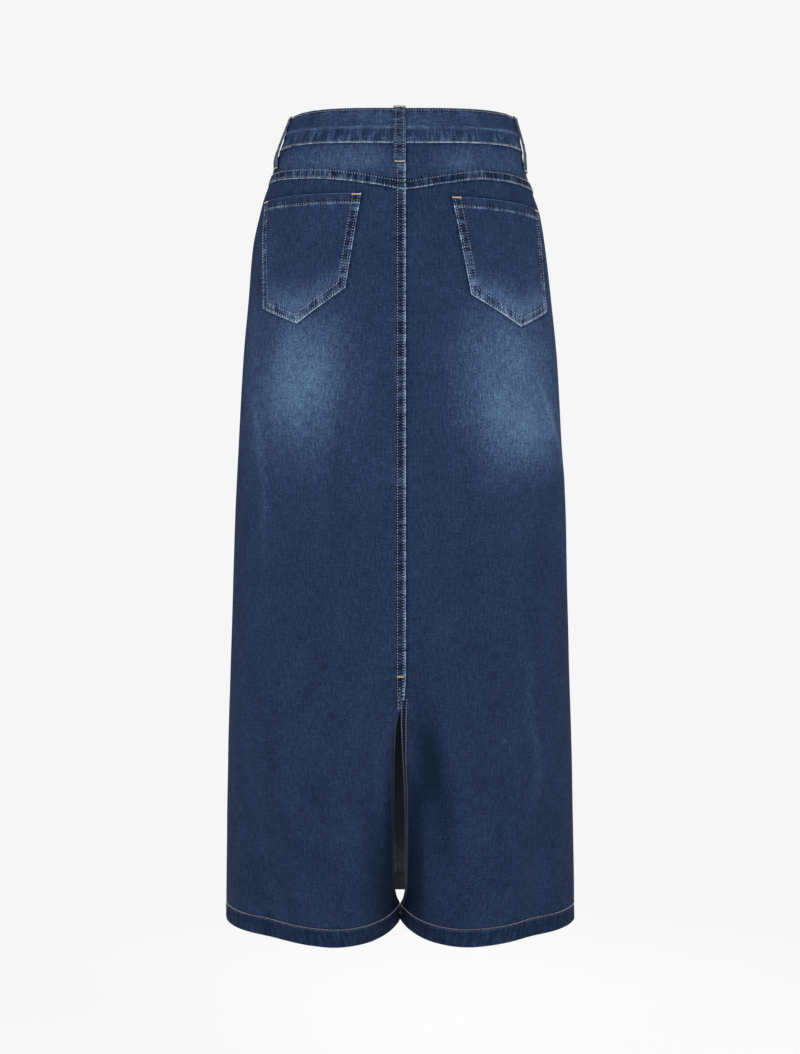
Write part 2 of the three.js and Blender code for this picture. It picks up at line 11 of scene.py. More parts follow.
import bmesh
import bpy
import numpy as np
from bpy.props import FloatProperty, FloatVectorProperty, PointerProperty
from mathutils import Matrix, Vector


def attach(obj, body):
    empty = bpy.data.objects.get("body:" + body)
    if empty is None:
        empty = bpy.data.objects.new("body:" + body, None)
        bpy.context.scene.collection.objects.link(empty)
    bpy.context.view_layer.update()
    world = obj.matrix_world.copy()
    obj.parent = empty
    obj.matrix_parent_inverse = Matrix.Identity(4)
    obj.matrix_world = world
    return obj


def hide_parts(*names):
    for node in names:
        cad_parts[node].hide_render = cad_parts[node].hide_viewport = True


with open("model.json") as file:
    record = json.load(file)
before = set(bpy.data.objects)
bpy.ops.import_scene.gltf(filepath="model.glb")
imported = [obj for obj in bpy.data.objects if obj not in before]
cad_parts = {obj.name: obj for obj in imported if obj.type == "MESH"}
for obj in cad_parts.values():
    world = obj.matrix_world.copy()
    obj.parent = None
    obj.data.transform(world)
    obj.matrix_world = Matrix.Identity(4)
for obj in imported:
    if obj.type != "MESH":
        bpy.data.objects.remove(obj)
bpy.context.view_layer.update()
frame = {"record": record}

bl_info = {
    "name": "Denim skirt",
    "version": (1, 0, 0),
    "blender": (4, 5, 0),
    "location": "3D Viewport > Sidebar > Skirt",
    "description": "Cuts, sews and finishes a full-length denim skirt with a back slit",
    "category": "Object",
}

LEFT, RIGHT = 1, -1
BACK, FRONT = 1, -1
SIDE_NAMES = {LEFT: "left", RIGHT: "right"}

SKIRT_LENGTH = 945
WAISTBAND_HEIGHT = 42.5
DIP = {BACK: 3.5, FRONT: 14}
SLIT_TOP = 669
HEM_DEPTH = 20
STRIP = 9.5
LIFT_REACH = 95
UNDERLAP = 34

# down, half width, lean to the right, back depth, back squareness, front depth, front squareness
FIGURE = (
    (0, 133.8, 3.8, 95, 2.65, 96, 2.6),
    (42, 143.1, 1.1, 106.5, 3.2, 104, 2.5),
    (56, 148, -0.7, 109, 3.0, 107, 2.45),
    (70, 151.6, -0.6, 111, 2.85, 109, 2.45),
    (91, 159.3, -0.9, 115, 2.75, 112, 2.4),
    (110, 165.4, -0.2, 118.5, 2.65, 115, 2.35),
    (150, 173.4, -1.1, 124, 2.5, 119, 2.3),
    (210, 179.7, -0.3, 127.5, 2.35, 123, 2.25),
    (280, 186.5, 0, 129.5, 2.22, 126, 2.2),
    (380, 192, 0, 132, 2.1, 130, 2.15),
    (470, 196.5, 0, 135, 2.0, 134, 2.1),
    (570, 199.5, 0, 139, 1.92, 138, 2.05),
    (670, 202.5, 0, 145, 1.86, 142, 2.0),
    (760, 205, 0, 151, 1.82, 145, 2.0),
    (860, 206.5, 0, 157, 1.79, 148, 2.0),
    (945, 207.5, 0, 160, 1.79, 150, 2.0),
)

# down, place of the centre edge, how far it has turned in, heading in degrees, start of the
# turn, lift of the cloth
CENTRE_BACK = {
    LEFT: (
        (656, -6.5, 0, 0, 60, 0), (669, -0.6, 1, 8, 55, 0), (677, -0.6, 2.2, 18, 53, 0),
        (700, 3.4, 9, 38, 50, 0.1), (742, 5.8, 27, 60, 48, 0.9), (790, 6.6, 49, 70, 50, 2.8),
        (862, 6.4, 78, 76, 62, 6.8), (898, 5.9, 91, 78, 72, 8.8), (907, 5.4, 94.5, 78.5, 74, 9.3),
        (917, 3.6, 98, 79.5, 76.5, 9.8), (928, -0.7, 101.5, 80, 78.5, 10.3), (945, -0.7, 106, 80, 80, 11),
    ),
    RIGHT: (
        (656, -6.5, 0, 0, 60, 0), (669, -0.6, 1, 8, 55, 0), (695, -0.6, 6, 32, 50, 0.1),
        (742, -3.0, 24, 55, 52, 0.9), (790, -5.0, 45, 64, 58, 2.8), (862, -6.0, 73, 70, 70, 6.8),
        (898, -5.6, 86, 72, 78, 8.8), (907, -5.2, 89.5, 72.5, 79.3, 9.3), (917, -3.6, 93, 73.5, 80.5, 9.8),
        (928, 0.7, 96.5, 74.5, 82, 10.3), (945, 0.7, 102, 75, 84, 11),
    ),
}
CENTRE_FRONT = ((0, -5, 0, 0, 60, 0), (945, -5, 0, 0, 60, 0))

# along, depth of the yoke seam on the left, and on the right
YOKE_SEAM = ((0, 101.5, 101.5), (50, 92, 92.5), (90, 86, 86.5), (120, 83.5, 86.5), (150, 81, 88),
             (240, 76, 87))

# face, side, height, reach, route of [down, along] pairs: soft upright ridges and troughs
FOLDS = (
    (BACK, RIGHT, -5, 14, ((690, 22), (730, 36), (765, 49), (800, 62), (900, 80))),
    (BACK, RIGHT, 2.2, 13, ((715, 10), (750, 18), (790, 32), (866, 48), (935, 52))),
    (BACK, LEFT, 2.0, 20, ((700, 60), (790, 78), (864, 88), (945, 92))),
    (BACK, LEFT, 8, 48, ((700, 124), (800, 132), (900, 138), (1040, 140))),
    (BACK, LEFT, -5, 26, ((700, 202), (800, 208), (900, 212), (1040, 214))),
    (BACK, RIGHT, 8, 52, ((690, 124), (800, 132), (900, 138), (1040, 140))),
    (BACK, RIGHT, -6, 26, ((690, 198), (800, 204), (900, 208), (1040, 210))),
    (BACK, LEFT, 2.2, 22, ((290, 212), (368, 180), (518, 170), (620, 204), (760, 232))),
    (BACK, RIGHT, 2.2, 22, ((290, 150), (356, 190), (420, 222), (560, 236))),
    (BACK, RIGHT, 1.8, 22, ((600, 140), (662, 154), (746, 170), (850, 190))),
    (FRONT, LEFT, -4.5, 34, ((380, 70), (560, 84), (760, 104), (980, 118))),
    (FRONT, LEFT, 3.5, 30, ((460, 170), (640, 182), (860, 196), (1000, 204))),
    (FRONT, RIGHT, -4.0, 32, ((430, 96), (600, 112), (800, 138), (1000, 150))),
    (FRONT, RIGHT, 3.2, 30, ((540, 30), (700, 36), (860, 44), (1000, 50))),
    # finer creases that only the cloth itself shows
    (BACK, LEFT, -0.7, 8, ((230, 40), (300, 58), (380, 74), (470, 82))),
    (BACK, RIGHT, -0.6, 8, ((250, 30), (330, 46), (400, 66), (480, 78))),
    (BACK, LEFT, 0.8, 7, ((300, 210), (372, 182), (450, 172), (540, 176))),
    (BACK, RIGHT, 0.9, 6, ((286, 152), (330, 176), (384, 206), (446, 248))),
    (BACK, LEFT, -0.8, 9, ((640, 150), (720, 158), (800, 176), (900, 190))),
    (BACK, LEFT, 1.0, 12, ((690, 16), (760, 22), (830, 34), (930, 44))),
    (BACK, LEFT, -1.2, 12, ((700, 30), (760, 40), (830, 54), (920, 62))),
    (BACK, RIGHT, 0.7, 9, ((600, 150), (668, 156), (748, 172), (800, 190))),
    (FRONT, LEFT, 0.8, 9, ((150, 60), (200, 92), (240, 128), (270, 170))),
    (FRONT, LEFT, -0.7, 8, ((170, 50), (222, 82), (262, 116), (290, 150))),
    (FRONT, RIGHT, 0.8, 9, ((150, 64), (204, 98), (246, 130), (280, 168))),
    (FRONT, RIGHT, -0.7, 8, ((172, 52), (226, 84), (268, 120), (300, 158))),
)

# corners of the two back pockets as (along, down)
POCKETS = {
    LEFT: ((50, 104.5), (184, 103), (68, 212), (126, 250), (178, 229)),
    RIGHT: ((52, 108), (178, 112), (74, 219), (137, 252), (189, 230)),
}

# name, face, side, top and bottom of the middle line as (along, down), sway, bow, seat of the
# lower end
BELT_LOOPS = (
    ("belt_loop_back", BACK, LEFT, (7, 2), (7, 70), 0, 3.4, 0.9),
    ("belt_loop_side_left", BACK, LEFT, (157, 1), (168, 66), 7, 1.7, 0.4),
    ("belt_loop_side_right", BACK, RIGHT, (148, 1), (163, 68), 6, 2.0, 0.4),
    ("belt_loop_front_left", FRONT, LEFT, (98, 7), (104, 72), 0, 3.4, 0.2),
    ("belt_loop_front_right", FRONT, RIGHT, (88, 7), (94, 72), 0, 3.4, 0.2),
)

# face, side, along, down, reach along, reach down, strength: where the blue has worn pale; a negative
# strength paints shade into a hollow instead
FADES_AND_SHADES = (
    (BACK, LEFT, 124, 314, 57, 80, 0.50), (BACK, LEFT, 112, 300, 96, 130, 0.05),
    (BACK, LEFT, 205, 310, 22, 90, 0.14),
    (BACK, RIGHT, 124, 308, 68, 80, 0.50), (BACK, RIGHT, 150, 384, 56, 42, 0.28),
    # The last row here is painted shade in the hollow beside the slit.
    (BACK, RIGHT, 200, 330, 30, 96, 0.10), (BACK, RIGHT, 32, 760, 16, 75, -0.28),
    (BACK, LEFT, 64, 64, 56, 22, 0.30), (BACK, RIGHT, 94, 64, 64, 20, 0.17),
    (BACK, RIGHT, 52, 72, 26, 14, 0.10), (BACK, LEFT, 130, 66, 30, 14, 0.08),
    (FRONT, LEFT, 112, 330, 50, 130, 0.50), (FRONT, RIGHT, 112, 330, 50, 130, 0.50),
    (FRONT, LEFT, 100, 600, 60, 130, 0.14), (FRONT, RIGHT, 100, 600, 60, 130, 0.14),
)
PATCH_EDGE = 2.4


def eased(value):
    t = np.clip(value, 0, 1)
    return t * t * (3 - 2 * t)


def hermite(t, start, start_slope, end, end_slope):
    t2, t3 = t * t, t * t * t
    return ((2 * t3 - 3 * t2 + 1) * start + (t3 - 2 * t2 + t) * start_slope
            + (3 * t2 - 2 * t3) * end + (t3 - t2) * end_slope)


def smooth_at(places, values, at):
    """A smooth value read from a short table, without overshoot between its rows."""
    places, values = np.asarray(places, float), np.asarray(values, float)
    at = np.clip(at, places[0], places[-1])
    index = np.clip(np.searchsorted(places, at, side="right") - 1, 0, len(places) - 2)
    slopes = np.diff(values) / np.diff(places)
    product = slopes[:-1] * slopes[1:]
    total = np.where(product > 0, slopes[:-1] + slopes[1:], 1)
    knots = np.concatenate([slopes[:1], np.where(product > 0, 2 * product / total, 0), slopes[-1:]])
    width = (places[1:] - places[:-1])[index]
    t = (at - places[index]) / width
    return hermite(t, values[index], knots[index] * width, values[index + 1], knots[index + 1] * width)


def column_at(table, column, at):
    rows = np.asarray(table, float)
    return smooth_at(rows[:, 0], rows[:, column], at)


def unevenness(across, along, seed):
    """Smooth random values from -1 to 1 on a plane, the same on every run."""
    lattice = np.random.default_rng(seed).uniform(-1, 1, (64, 64))
    across, along = np.asarray(across, float), np.asarray(along, float)
    i, j = np.floor(across).astype(int), np.floor(along).astype(int)
    s, t = eased(across - i), eased(along - j)
    i0, j0, i1, j1 = i % 64, j % 64, (i + 1) % 64, (j + 1) % 64
    return ((lattice[i0, j0] * (1 - s) + lattice[i1, j0] * s) * (1 - t)
            + (lattice[i0, j1] * (1 - s) + lattice[i1, j1] * s) * t)


class HangingCloth:
    """One side of one face of the skirt, as a fine grid of places with their outward normals."""

    STEP = 1.5
    MARGIN = 12

    def __init__(self, face, side):
        self.face, self.side = face, side
        down = np.arange(-9, SKIRT_LENGTH + 9, self.STEP)
        half = column_at(FIGURE, 1, down) - side * column_at(FIGURE, 2, down)
        depth = column_at(FIGURE, 3 if face == BACK else 5, down)
        power = column_at(FIGURE, 4 if face == BACK else 6, down)
        edge = CENTRE_BACK[side] if face == BACK else CENTRE_FRONT
        place, inward, turn, join, lift = (column_at(edge, k, down) for k in range(1, 6))
        turn = np.radians(turn)

        x0, y0 = place * side, depth - inward
        x1 = join
        y1 = depth * (1 - (join / half) ** power) ** (1 / power)
        slope = -((depth / half) ** power) * (x1 / y1) ** (power - 1)
        reach = np.hypot(x1 - x0, y1 - y0)
        level = np.hypot(1, slope)
        t = np.linspace(0, 1, 81)[None, :]

        def col(value):
            return np.asarray(value)[:, None]

        near_x = hermite(t, col(x0), col(np.cos(turn) * reach * 1.1), col(x1), col(reach * 0.9 / level))
        near_y = hermite(t, col(y0), col(np.sin(turn) * reach * 1.1), col(y1),
                         col(reach * 0.9 * slope / level))
        angle = col(np.arccos((join / half) ** (power / 2))) * (1 - np.linspace(0, 1, 161)[None, 1:])
        far_x = col(half) * np.cos(angle) ** col(2 / power)
        far_y = col(depth) * np.sin(angle) ** col(2 / power)
        x = np.hstack([near_x, far_x])
        y = np.hstack([near_y, far_y])
        lengths = np.hstack([np.zeros((len(down), 1)),
                             np.cumsum(np.hypot(np.diff(x), np.diff(y)), axis=1)])
        self.downs, self.widths = down, lengths[:, -1]
        spare = self.MARGIN + 8
        x = np.hstack([col(x0 - np.cos(turn) * spare), x, x[:, -1:]])
        y = np.hstack([col(y0 - np.sin(turn) * spare), y, y[:, -1:] - spare])
        lengths = np.hstack([np.full((len(down), 1), -spare), lengths, lengths[:, -1:] + spare])

        self.alongs = np.arange(-self.MARGIN, self.widths.max() + self.MARGIN, self.STEP)
        px = np.array([np.interp(self.alongs, l, v) for l, v in zip(lengths, x)])
        py = np.array([np.interp(self.alongs, l, v) for l, v in zip(lengths, y)])
        tx, ty = np.gradient(px, axis=1), np.gradient(py, axis=1)
        size = np.hypot(tx, ty)
        along, depth_below = np.meshgrid(self.alongs, down)
        push = self.fold_height(along, depth_below)
        px, py = px - ty / size * push, py + tx / size * push
        near = np.clip(1 - np.minimum(along, col(self.widths)) / LIFT_REACH, 0, 1)
        pz = col(lift) * near ** 2 - depth_below
        self.places = np.stack([px * side, py * face, pz], axis=2)
        across = np.gradient(self.places, axis=1)
        upward = -np.gradient(self.places, axis=0)
        normals = np.cross(across, upward) * (-face * side)
        self.normals = normals / np.linalg.norm(normals, axis=2, keepdims=True)

    def fold_height(self, along, down):
        total = np.zeros_like(along)
        for face, side, height, reach, route in FOLDS:
            if (face, side) != (self.face, self.side):
                continue
            rows = np.asarray(route, float)
            fade = (eased((down - rows[0, 0]) / (rows[1, 0] - rows[0, 0]))
                    * eased((rows[-1, 0] - down) / (rows[-1, 0] - rows[-2, 0])))
            total += height * fade * np.exp(-((along - smooth_at(rows[:, 0], rows[:, 1], down)) / reach) ** 2)
        body = eased((down - 120) / 80) * eased((along - 14) / 30)
        total += 0.55 * body * unevenness(along / 46, down / 130, 5 + self.face + 3 * self.side)
        total += 0.22 * body * unevenness(along / 21, down / 60, 9 + self.face + 3 * self.side)
        return total

    def width_at(self, down):
        return np.interp(down, self.downs, self.widths)

    def read(self, grid, along, down):
        i = np.clip((np.asarray(down, float) - self.downs[0]) / self.STEP, 0, len(self.downs) - 1.001)
        j = np.clip((np.asarray(along, float) - self.alongs[0]) / self.STEP, 0, len(self.alongs) - 1.001)
        i0, j0 = i.astype(int), j.astype(int)
        s, t = (i - i0)[..., None], (j - j0)[..., None]
        return ((grid[i0, j0] * (1 - s) + grid[i0 + 1, j0] * s) * (1 - t)
                + (grid[i0, j0 + 1] * (1 - s) + grid[i0 + 1, j0 + 1] * s) * t)

    def normal(self, along, down):
        found = self.read(self.normals, along, down)
        return found / np.linalg.norm(found, axis=-1, keepdims=True)

    def point(self, along, down, height):
        """Places in metres that stand out from the cloth by a height in millimetres."""
        along, down = np.broadcast_arrays(np.asarray(along, float), np.asarray(down, float))
        height = np.broadcast_to(height, along.shape)
        found = self.read(self.places, along, down) + self.normal(along, down) * height[..., None]
        return found / 1000

    def wash_and_shade(self, along, down):
        """How far the blue has worn pale, from 0 to about 1, with painted shade taken off in the hollows, on
        the flaps beside the slit and towards the hem.
        """
        total = np.zeros_like(np.asarray(along, float))
        for face, side, a, d, reach_a, reach_d, strength in FADES_AND_SHADES:
            if (face, side) == (self.face, self.side):
                total += strength * np.exp(-np.abs((along - a) / reach_a) ** PATCH_EDGE
                                           - np.abs((down - d) / reach_d) ** PATCH_EDGE)
        for face, side, height, reach, route in FOLDS:
            if (face, side) != (self.face, self.side) or reach > 25:
                continue
            rows = np.asarray(route, float)
            fade = (eased((down - rows[0, 0]) / (rows[1, 0] - rows[0, 0]))
                    * eased((rows[-1, 0] - down) / (rows[-1, 0] - rows[-2, 0])))
            if height > 0:
                worn, wide = (0.14 if reach < 10 else 0.04), min(reach, 9)
            else:
                # Troughs are darkened: painted shade in the hollows of the folds.
                worn, wide = (-0.22 if height < -2 else -0.05), reach
            total += worn * fade * np.exp(-((along - smooth_at(rows[:, 0], rows[:, 1], down)) / wide) ** 2)
        total += 0.03 * unevenness(along / 34, down / 60, 21 + self.side)
        # Painted shade: darker on the flaps that turn inward beside the slit, towards the hem.
        if self.face == BACK:
            total -= 0.24 * eased((down - 790) / 90) * np.exp(-(np.clip(along, 0, None) / 42) ** 2)
        # Painted light: a little paler towards the waist and darker towards the hem, as the light falls off
        # downward.
        return total + 0.05 * eased((640 - down) / 260) - 0.03 * eased((down - 740) / 120)


CLOTH = {(face, side): HangingCloth(face, side) for face in (BACK, FRONT) for side in (LEFT, RIGHT)}


def dip_of(face, fraction):
    return DIP[face] * (1 + np.cos(np.pi * np.clip(fraction, 0, 1))) / 2


def rounded(distance, radius):
    """Share of the cloth's thickness that is left at a distance from its cut or folded edge."""
    return np.sqrt(np.clip(1 - (1 - np.clip(distance / radius, 0, 1)) ** 2, 0, 1))


def furrow(distance, row, width=0.9):
    """The small groove that a row of stitches pulls into the cloth."""
    return np.exp(-((distance - row) / width) ** 2)


def near(distance, reach):
    return np.exp(-np.clip(distance, 0, None) / reach)


def fold_line(distance, width=1.5):
    """The rubbed line of bare cloth along a folded edge."""
    return 1 - eased((distance - 0.5 * width) / width)


def even(start, end, step):
    return list(np.linspace(start, end, max(2, int(round(abs(end - start) / step)) + 1)))


def joined(*runs):
    places = sorted(set(round(float(v), 3) for run in runs for v in run))
    kept = [places[0]]
    for place in places[1:]:
        if place - kept[-1] > 0.09:
            kept.append(place)
    return np.array(kept)


def make_shell(name, outer, inner, chart, masks, looks, inner_masks=None):
    """A closed wall of cloth between two grids whose borders meet.

    outer and inner are grids of places in metres, chart is the flat place of each point in
    metres, and masks are named grids of wear and painted shade that the denim reads.
    inner_masks holds those that differ on the inner wall.
    """
    rows, columns = outer.shape[:2]
    border = np.zeros((rows, columns), bool)
    border[0], border[-1], border[:, 0], border[:, -1] = True, True, True, True
    outer_ids = np.arange(rows * columns).reshape(rows, columns)
    inner_ids = np.full((rows, columns), -1)
    inner_ids[border] = outer_ids[border]
    free = ~border
    inner_ids[free] = rows * columns + np.arange(free.sum())
    outer = outer.copy()
    outer[border] = (outer[border] + inner[border]) / 2
    places = np.vstack([outer.reshape(-1, 3), inner[free]])

    def quads(ids, flip):
        a, b, c, d = ids[:-1, :-1], ids[1:, :-1], ids[1:, 1:], ids[:-1, 1:]
        order = (a, b, c, d) if not flip else (a, d, c, b)
        return np.stack([v.ravel() for v in order], axis=1)

    middle = (rows // 2, columns // 2)
    o, n = outer[middle], inner[middle]
    a = outer[middle[0] + 1, middle[1]] - outer[middle]
    b = outer[middle[0], middle[1] + 1] - outer[middle]
    flip = np.dot(np.cross(a, b), o - n) < 0
    faces = np.vstack([quads(outer_ids, flip), quads(inner_ids, not flip)])
    sides = len(faces) // 2

    mesh = bpy.data.meshes.new(name)
    mesh.vertices.add(len(places))
    mesh.vertices.foreach_set("co", places.astype(np.float32).ravel())
    mesh.loops.add(len(faces) * 4)
    mesh.loops.foreach_set("vertex_index", faces.astype(np.int32).ravel())
    mesh.polygons.add(len(faces))
    mesh.polygons.foreach_set("loop_start", np.arange(0, len(faces) * 4, 4, dtype=np.int32))
    mesh.polygons.foreach_set("use_smooth", np.ones(len(faces), bool))
    for look in looks:
        mesh.materials.append(look)
    slots = np.zeros(len(faces), np.int32)
    slots[sides:] = len(looks) - 1
    mesh.polygons.foreach_set("material_index", slots)

    def on_points(grid, behind=None):
        grid = np.broadcast_to(grid, (rows, columns))
        return np.concatenate([grid.ravel(), (grid if behind is None else behind)[free]])

    flat = np.stack([on_points(chart[0]), on_points(chart[1])], axis=1)
    layer = mesh.uv_layers.new(name="cloth")
    layer.data.foreach_set("uv", flat[faces.ravel()].astype(np.float32).ravel())
    for mask, grid in masks.items():
        attribute = mesh.attributes.new(mask, "FLOAT", "POINT")
        values = on_points(grid, (inner_masks or {}).get(mask))
        attribute.data.foreach_set("value", values.astype(np.float32))
    mesh.update()
    mesh.validate()
    piece = bpy.data.objects.new(name, mesh)
    bpy.context.scene.collection.objects.link(piece)
    return piece


def finish_piece(piece, slot, *nodes):
    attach(piece, "root")
    if nodes:
        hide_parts(*nodes)
    return piece


# metres between the diagonal ribs of the denim, and between the ribs of the zip's tape
TWILL_PITCH = 0.00115
TAPE_RIB_PITCH = 0.0009

SEWN = []
THREAD_COLOURS = ("pale", "tan", "bar", "dim")


def sew(cloth, along, down, height, colour="pale"):
    """Remembers a row of stitches to be sewn once every piece is cut."""
    along, down, height = np.broadcast_arrays(*(np.asarray(v, float) for v in (along, down, height)))
    SEWN.append((cloth.point(along, down, height), cloth.normal(along, down), colour))


def hem_share(down):
    return 1 - eased((SKIRT_LENGTH - down - HEM_DEPTH) / 2.0)


SEAM_ROWS = (3.0, 9.2)
YOKE_ROWS = (1.8, 9.3)
FACING_ROWS = {LEFT: (2.0, 8.2), RIGHT: (1.4, 6.8)}
# distances of the two rows that hold a back pocket from its folded edge
POCKET_ROWS = (2.8, 9.0)
SEAM_PLACE = CENTRE_BACK[LEFT][0][1]


def from_seam(side, along, down):
    """Distance from the straight line that the centre back seam follows, also beside the slit."""
    return along + column_at(CENTRE_BACK[side], 1, down) - SEAM_PLACE


def outside_pocket(side, along, down):
    """Distance outside the border of the back pocket, and nothing inside it."""
    inner_top, outer_top, inner_bottom, tip, outer_bottom = (np.array(p, float) for p in POCKETS[side])
    corners = [inner_top, inner_bottom, tip, outer_bottom, outer_top]
    farthest = np.full(np.shape(along), -1000.0)
    for a, b in zip(corners, corners[1:] + corners[:1]):
        direction = (b - a) / np.linalg.norm(b - a)
        farthest = np.maximum(farthest, -(along - a[0]) * direction[1] + (down - a[1]) * direction[0])
    return farthest


def strip_height(distance, width=STRIP, rise=1.15):
    return rise * (1 - eased((distance - width) / 3.0))


def above_slit(side, down):
    return eased((688 - down) / 14) if side == LEFT else eased((SLIT_TOP + 4 - down) / 12)


def overhang(down):
    """How far the felled seam's fold still covers the other side where the slit begins."""
    return 4.4 * eased((down - 656) / 12) * (1 - eased((down - 667) / 19))


def overhang_rise(along, down):
    """Keeps the overhang on top of the other side, which turns inward here as this side does."""
    return 2.1 * np.sin(np.radians(column_at(CENTRE_BACK[LEFT], 3, down))) * np.clip(-along, 0, None)


def seam_channel(side, straight, centre):
    """How far the centre seam puckers the cloth, over its felled strip and at its edge."""
    if side == LEFT:
        return np.where(straight < 10, 1.0, 0.5 * near(straight - 10, 2.2))
    return 0.25 * near(centre, 3)


def make_back_panel(side, look, thickness):
    cloth = CLOTH[BACK, side]
    name = f"back_panel_{SIDE_NAMES[side]}"
    seam_column = 1 if side == LEFT else 2
    columns = joined(
        (0, 0.12, 0.35, 0.7, 1.2, 1.8, 2.4, 3, 3.6, 4.6, 6, 7.4, 8.2, 8.6, 9.2, 9.8, 10.6, 11.6, 12.8),
        (14.5, 17, 20.5), even(24.5, 236, 4.4))
    from_side = joined((0, 0.12, 0.35, 0.8, 1.6, 3, 5.5, 9, 13), even(17.5, 22, 4.4))
    fixed = np.concatenate([columns, 260 - from_side[::-1]])
    share = np.concatenate([np.zeros(len(columns)), np.ones(len(from_side))])
    share[:len(columns)] = np.clip((columns - 60) / (236 - 60), 0, 1) * 0.985
    rows = joined(even(-9, 4, 1.6), even(5.5, 40, 4.2), even(44, 660 - 95, 4.6), even(565, 660, 3.8))
    hem_rows = joined(even(664, 915, 4.6), (919, 922, 923.4, 924.2, 925, 925.8, 926.6, 928),
                      even(930.5, 941, 3.4), (943.4, 944.2, 944.65, 944.9, 945))

    fraction = np.clip(fixed / 260, 0, 1)[None, :]
    guess = fraction * 262
    top = column_at(YOKE_SEAM, seam_column, guess)
    stretch = (659.5 - top) / 659.5
    upper = top + rows[:, None] * np.where(rows[:, None] > 0, stretch, 1)
    lower = np.broadcast_to(hem_rows[:, None], (len(hem_rows), fixed.size))
    down = np.vstack([upper, lower])
    down[len(rows) - 1] = 659.5
    width = cloth.width_at(down)
    along = fixed[None, :] + share[None, :] * (width - 260)
    tuck = 9 * (1 - eased((down - 650) / 17)) if side == RIGHT else overhang(down)
    along = along - tuck * np.clip(1 - along / 16, 0, 1)

    centre = along + (tuck if side == LEFT else 0)
    to_side = width - along
    to_hem = SKIRT_LENGTH - down
    above = above_slit(side, down)
    straight = from_seam(side, along, down)
    strip = strip_height(straight) * above if side == LEFT else np.zeros_like(down)
    facing = (1 - eased((centre - 11) / 2)) * (1 - above)
    hem = hem_share(down)
    outer = strip + 0.15 * np.maximum(facing, hem)
    inner = np.where(strip > 0, strip * 0.95, 0) - thickness - np.maximum(facing, hem) * thickness * 0.85
    if side == LEFT:
        for row in SEAM_ROWS:
            outer -= 0.42 * furrow(straight, row) * above
        outer += 0.22 * np.clip(np.sin(np.pi * (straight - 3) / 6.2), 0, 1) * (straight < 9.2) * above
    for row in FACING_ROWS[side]:
        outer -= 0.36 * furrow(centre, row) * (1 - above)
    outer -= 0.4 * furrow(to_hem, HEM_DEPTH) + 0.12 * furrow(to_hem, HEM_DEPTH, 4)
    hem_twist = unevenness(along / 13 + down / 16, down / 30, 31 + side)
    outer += 0.5 * hem * hem_twist * (0.4 + 0.6 * near(to_hem - 12, 5))

    edges = rounded(to_side, 0.8) * rounded(to_hem, 0.9) * rounded(along + tuck, 0.7)
    middle, half = (outer + inner) / 2, (outer - inner) / 2 * edges
    outer, inner = middle + half, middle - half
    if side == LEFT:
        outer, inner = outer + overhang_rise(along, down), inner + overhang_rise(along, down)

    fold = fold_line(centre, 1.7 if side == LEFT else 1.0)
    fold = fold * (0.2 + 0.8 * eased((690 - down) / 22) if side == LEFT else 0.35 * (1 - above))
    rub = fold + 0.15 * fold_line(to_hem, 1.3) + 0.45 * furrow(to_hem, HEM_DEPTH - 1.8, 0.8)
    below_yoke = down - column_at(YOKE_SEAM, seam_column, along)
    seam_h = 0.35 * hem + 0.35 * near(below_yoke, 5)
    channel = seam_channel(side, straight, centre)
    facing_row = FACING_ROWS[side][1]
    beside = (np.where(centre < facing_row, 0.8, 0.6 * near(centre - facing_row, 2.5))
              * (0.3 if side == LEFT else 1))
    seam_v = above * channel + (1 - above) * beside
    seam_v = seam_v + 0.4 * near(to_side, 6)
    pocket_edge = outside_pocket(side, along, down)
    # Painted shadow under the yoke's fold, round the pocket and beside the felled strip's edge, and darker in
    # and between the stitch rows.
    painted_shade_and_dark_rows = np.maximum(furrow(to_hem, HEM_DEPTH, 0.8), 0.7 * near(below_yoke, 1.6))
    painted_shade_and_dark_rows = np.maximum(painted_shade_and_dark_rows, 0.8 * near(pocket_edge, 1.5) * (pocket_edge > -2))
    if side == LEFT:
        painted_shade_and_dark_rows = np.maximum(painted_shade_and_dark_rows, 0.35 * above * (straight < 9) * (straight > 3))
        for row in SEAM_ROWS:
            painted_shade_and_dark_rows = np.maximum(painted_shade_and_dark_rows, furrow(straight, row, 0.7) * above)
    else:
        painted_shade_and_dark_rows = np.maximum(painted_shade_and_dark_rows, 0.9 * near(centre, 1.4) * above)
        painted_shade_and_dark_rows = np.maximum(painted_shade_and_dark_rows, 0.8 * (1 - above) * (centre < facing_row))
    for row in FACING_ROWS[side]:
        beside_row = furrow(centre, row, 0.7) * (1 - above) * (0.4 if side == LEFT else 1)
        painted_shade_and_dark_rows = np.maximum(painted_shade_and_dark_rows, beside_row)
    chart = (side * along / 1000, -down / 1000)
    masks = {"wash_and_shade": cloth.wash_and_shade(along, down) - 0.15 * hem, "rub": rub,
             "seam_across": np.clip(seam_h, 0, 1), "seam_down": np.clip(seam_v, 0, 1), "painted_shade_and_dark_rows": painted_shade_and_dark_rows}
    piece = make_shell(f"{name}_cloth", cloth.point(along, down, outer),
                       cloth.point(along, down, inner), chart, masks, look)
    finish_piece(piece, "denim", name)

    if side == LEFT:
        run = np.arange(45, 684, 0.5)
        zigzag = np.arange(658, 684, 0.25)
        wave = 6.1 + 2.4 * (np.abs((zigzag / 2.1) % 2 - 1) * 2 - 1)
        for spots, row in ((run, SEAM_ROWS[0]), (run, SEAM_ROWS[1]), (zigzag, wave)):
            along_row = row - from_seam(side, 0, spots)
            kept = along_row + overhang(spots) > 1.2
            along_row, spots = along_row[kept], spots[kept]
            sew(cloth, along_row, spots, above_slit(side, spots) + overhang_rise(along_row, spots))
    run = np.arange(690 if side == LEFT else 670, 938, 0.5)
    for row in FACING_ROWS[side]:
        sew(cloth, row, run, 0.0, "dim" if side == LEFT else "pale")
    hem_run = np.arange(1.2, cloth.width_at(925) - 1, 0.5)
    sew(cloth, hem_run, SKIRT_LENGTH - HEM_DEPTH, 0.05)
    return piece


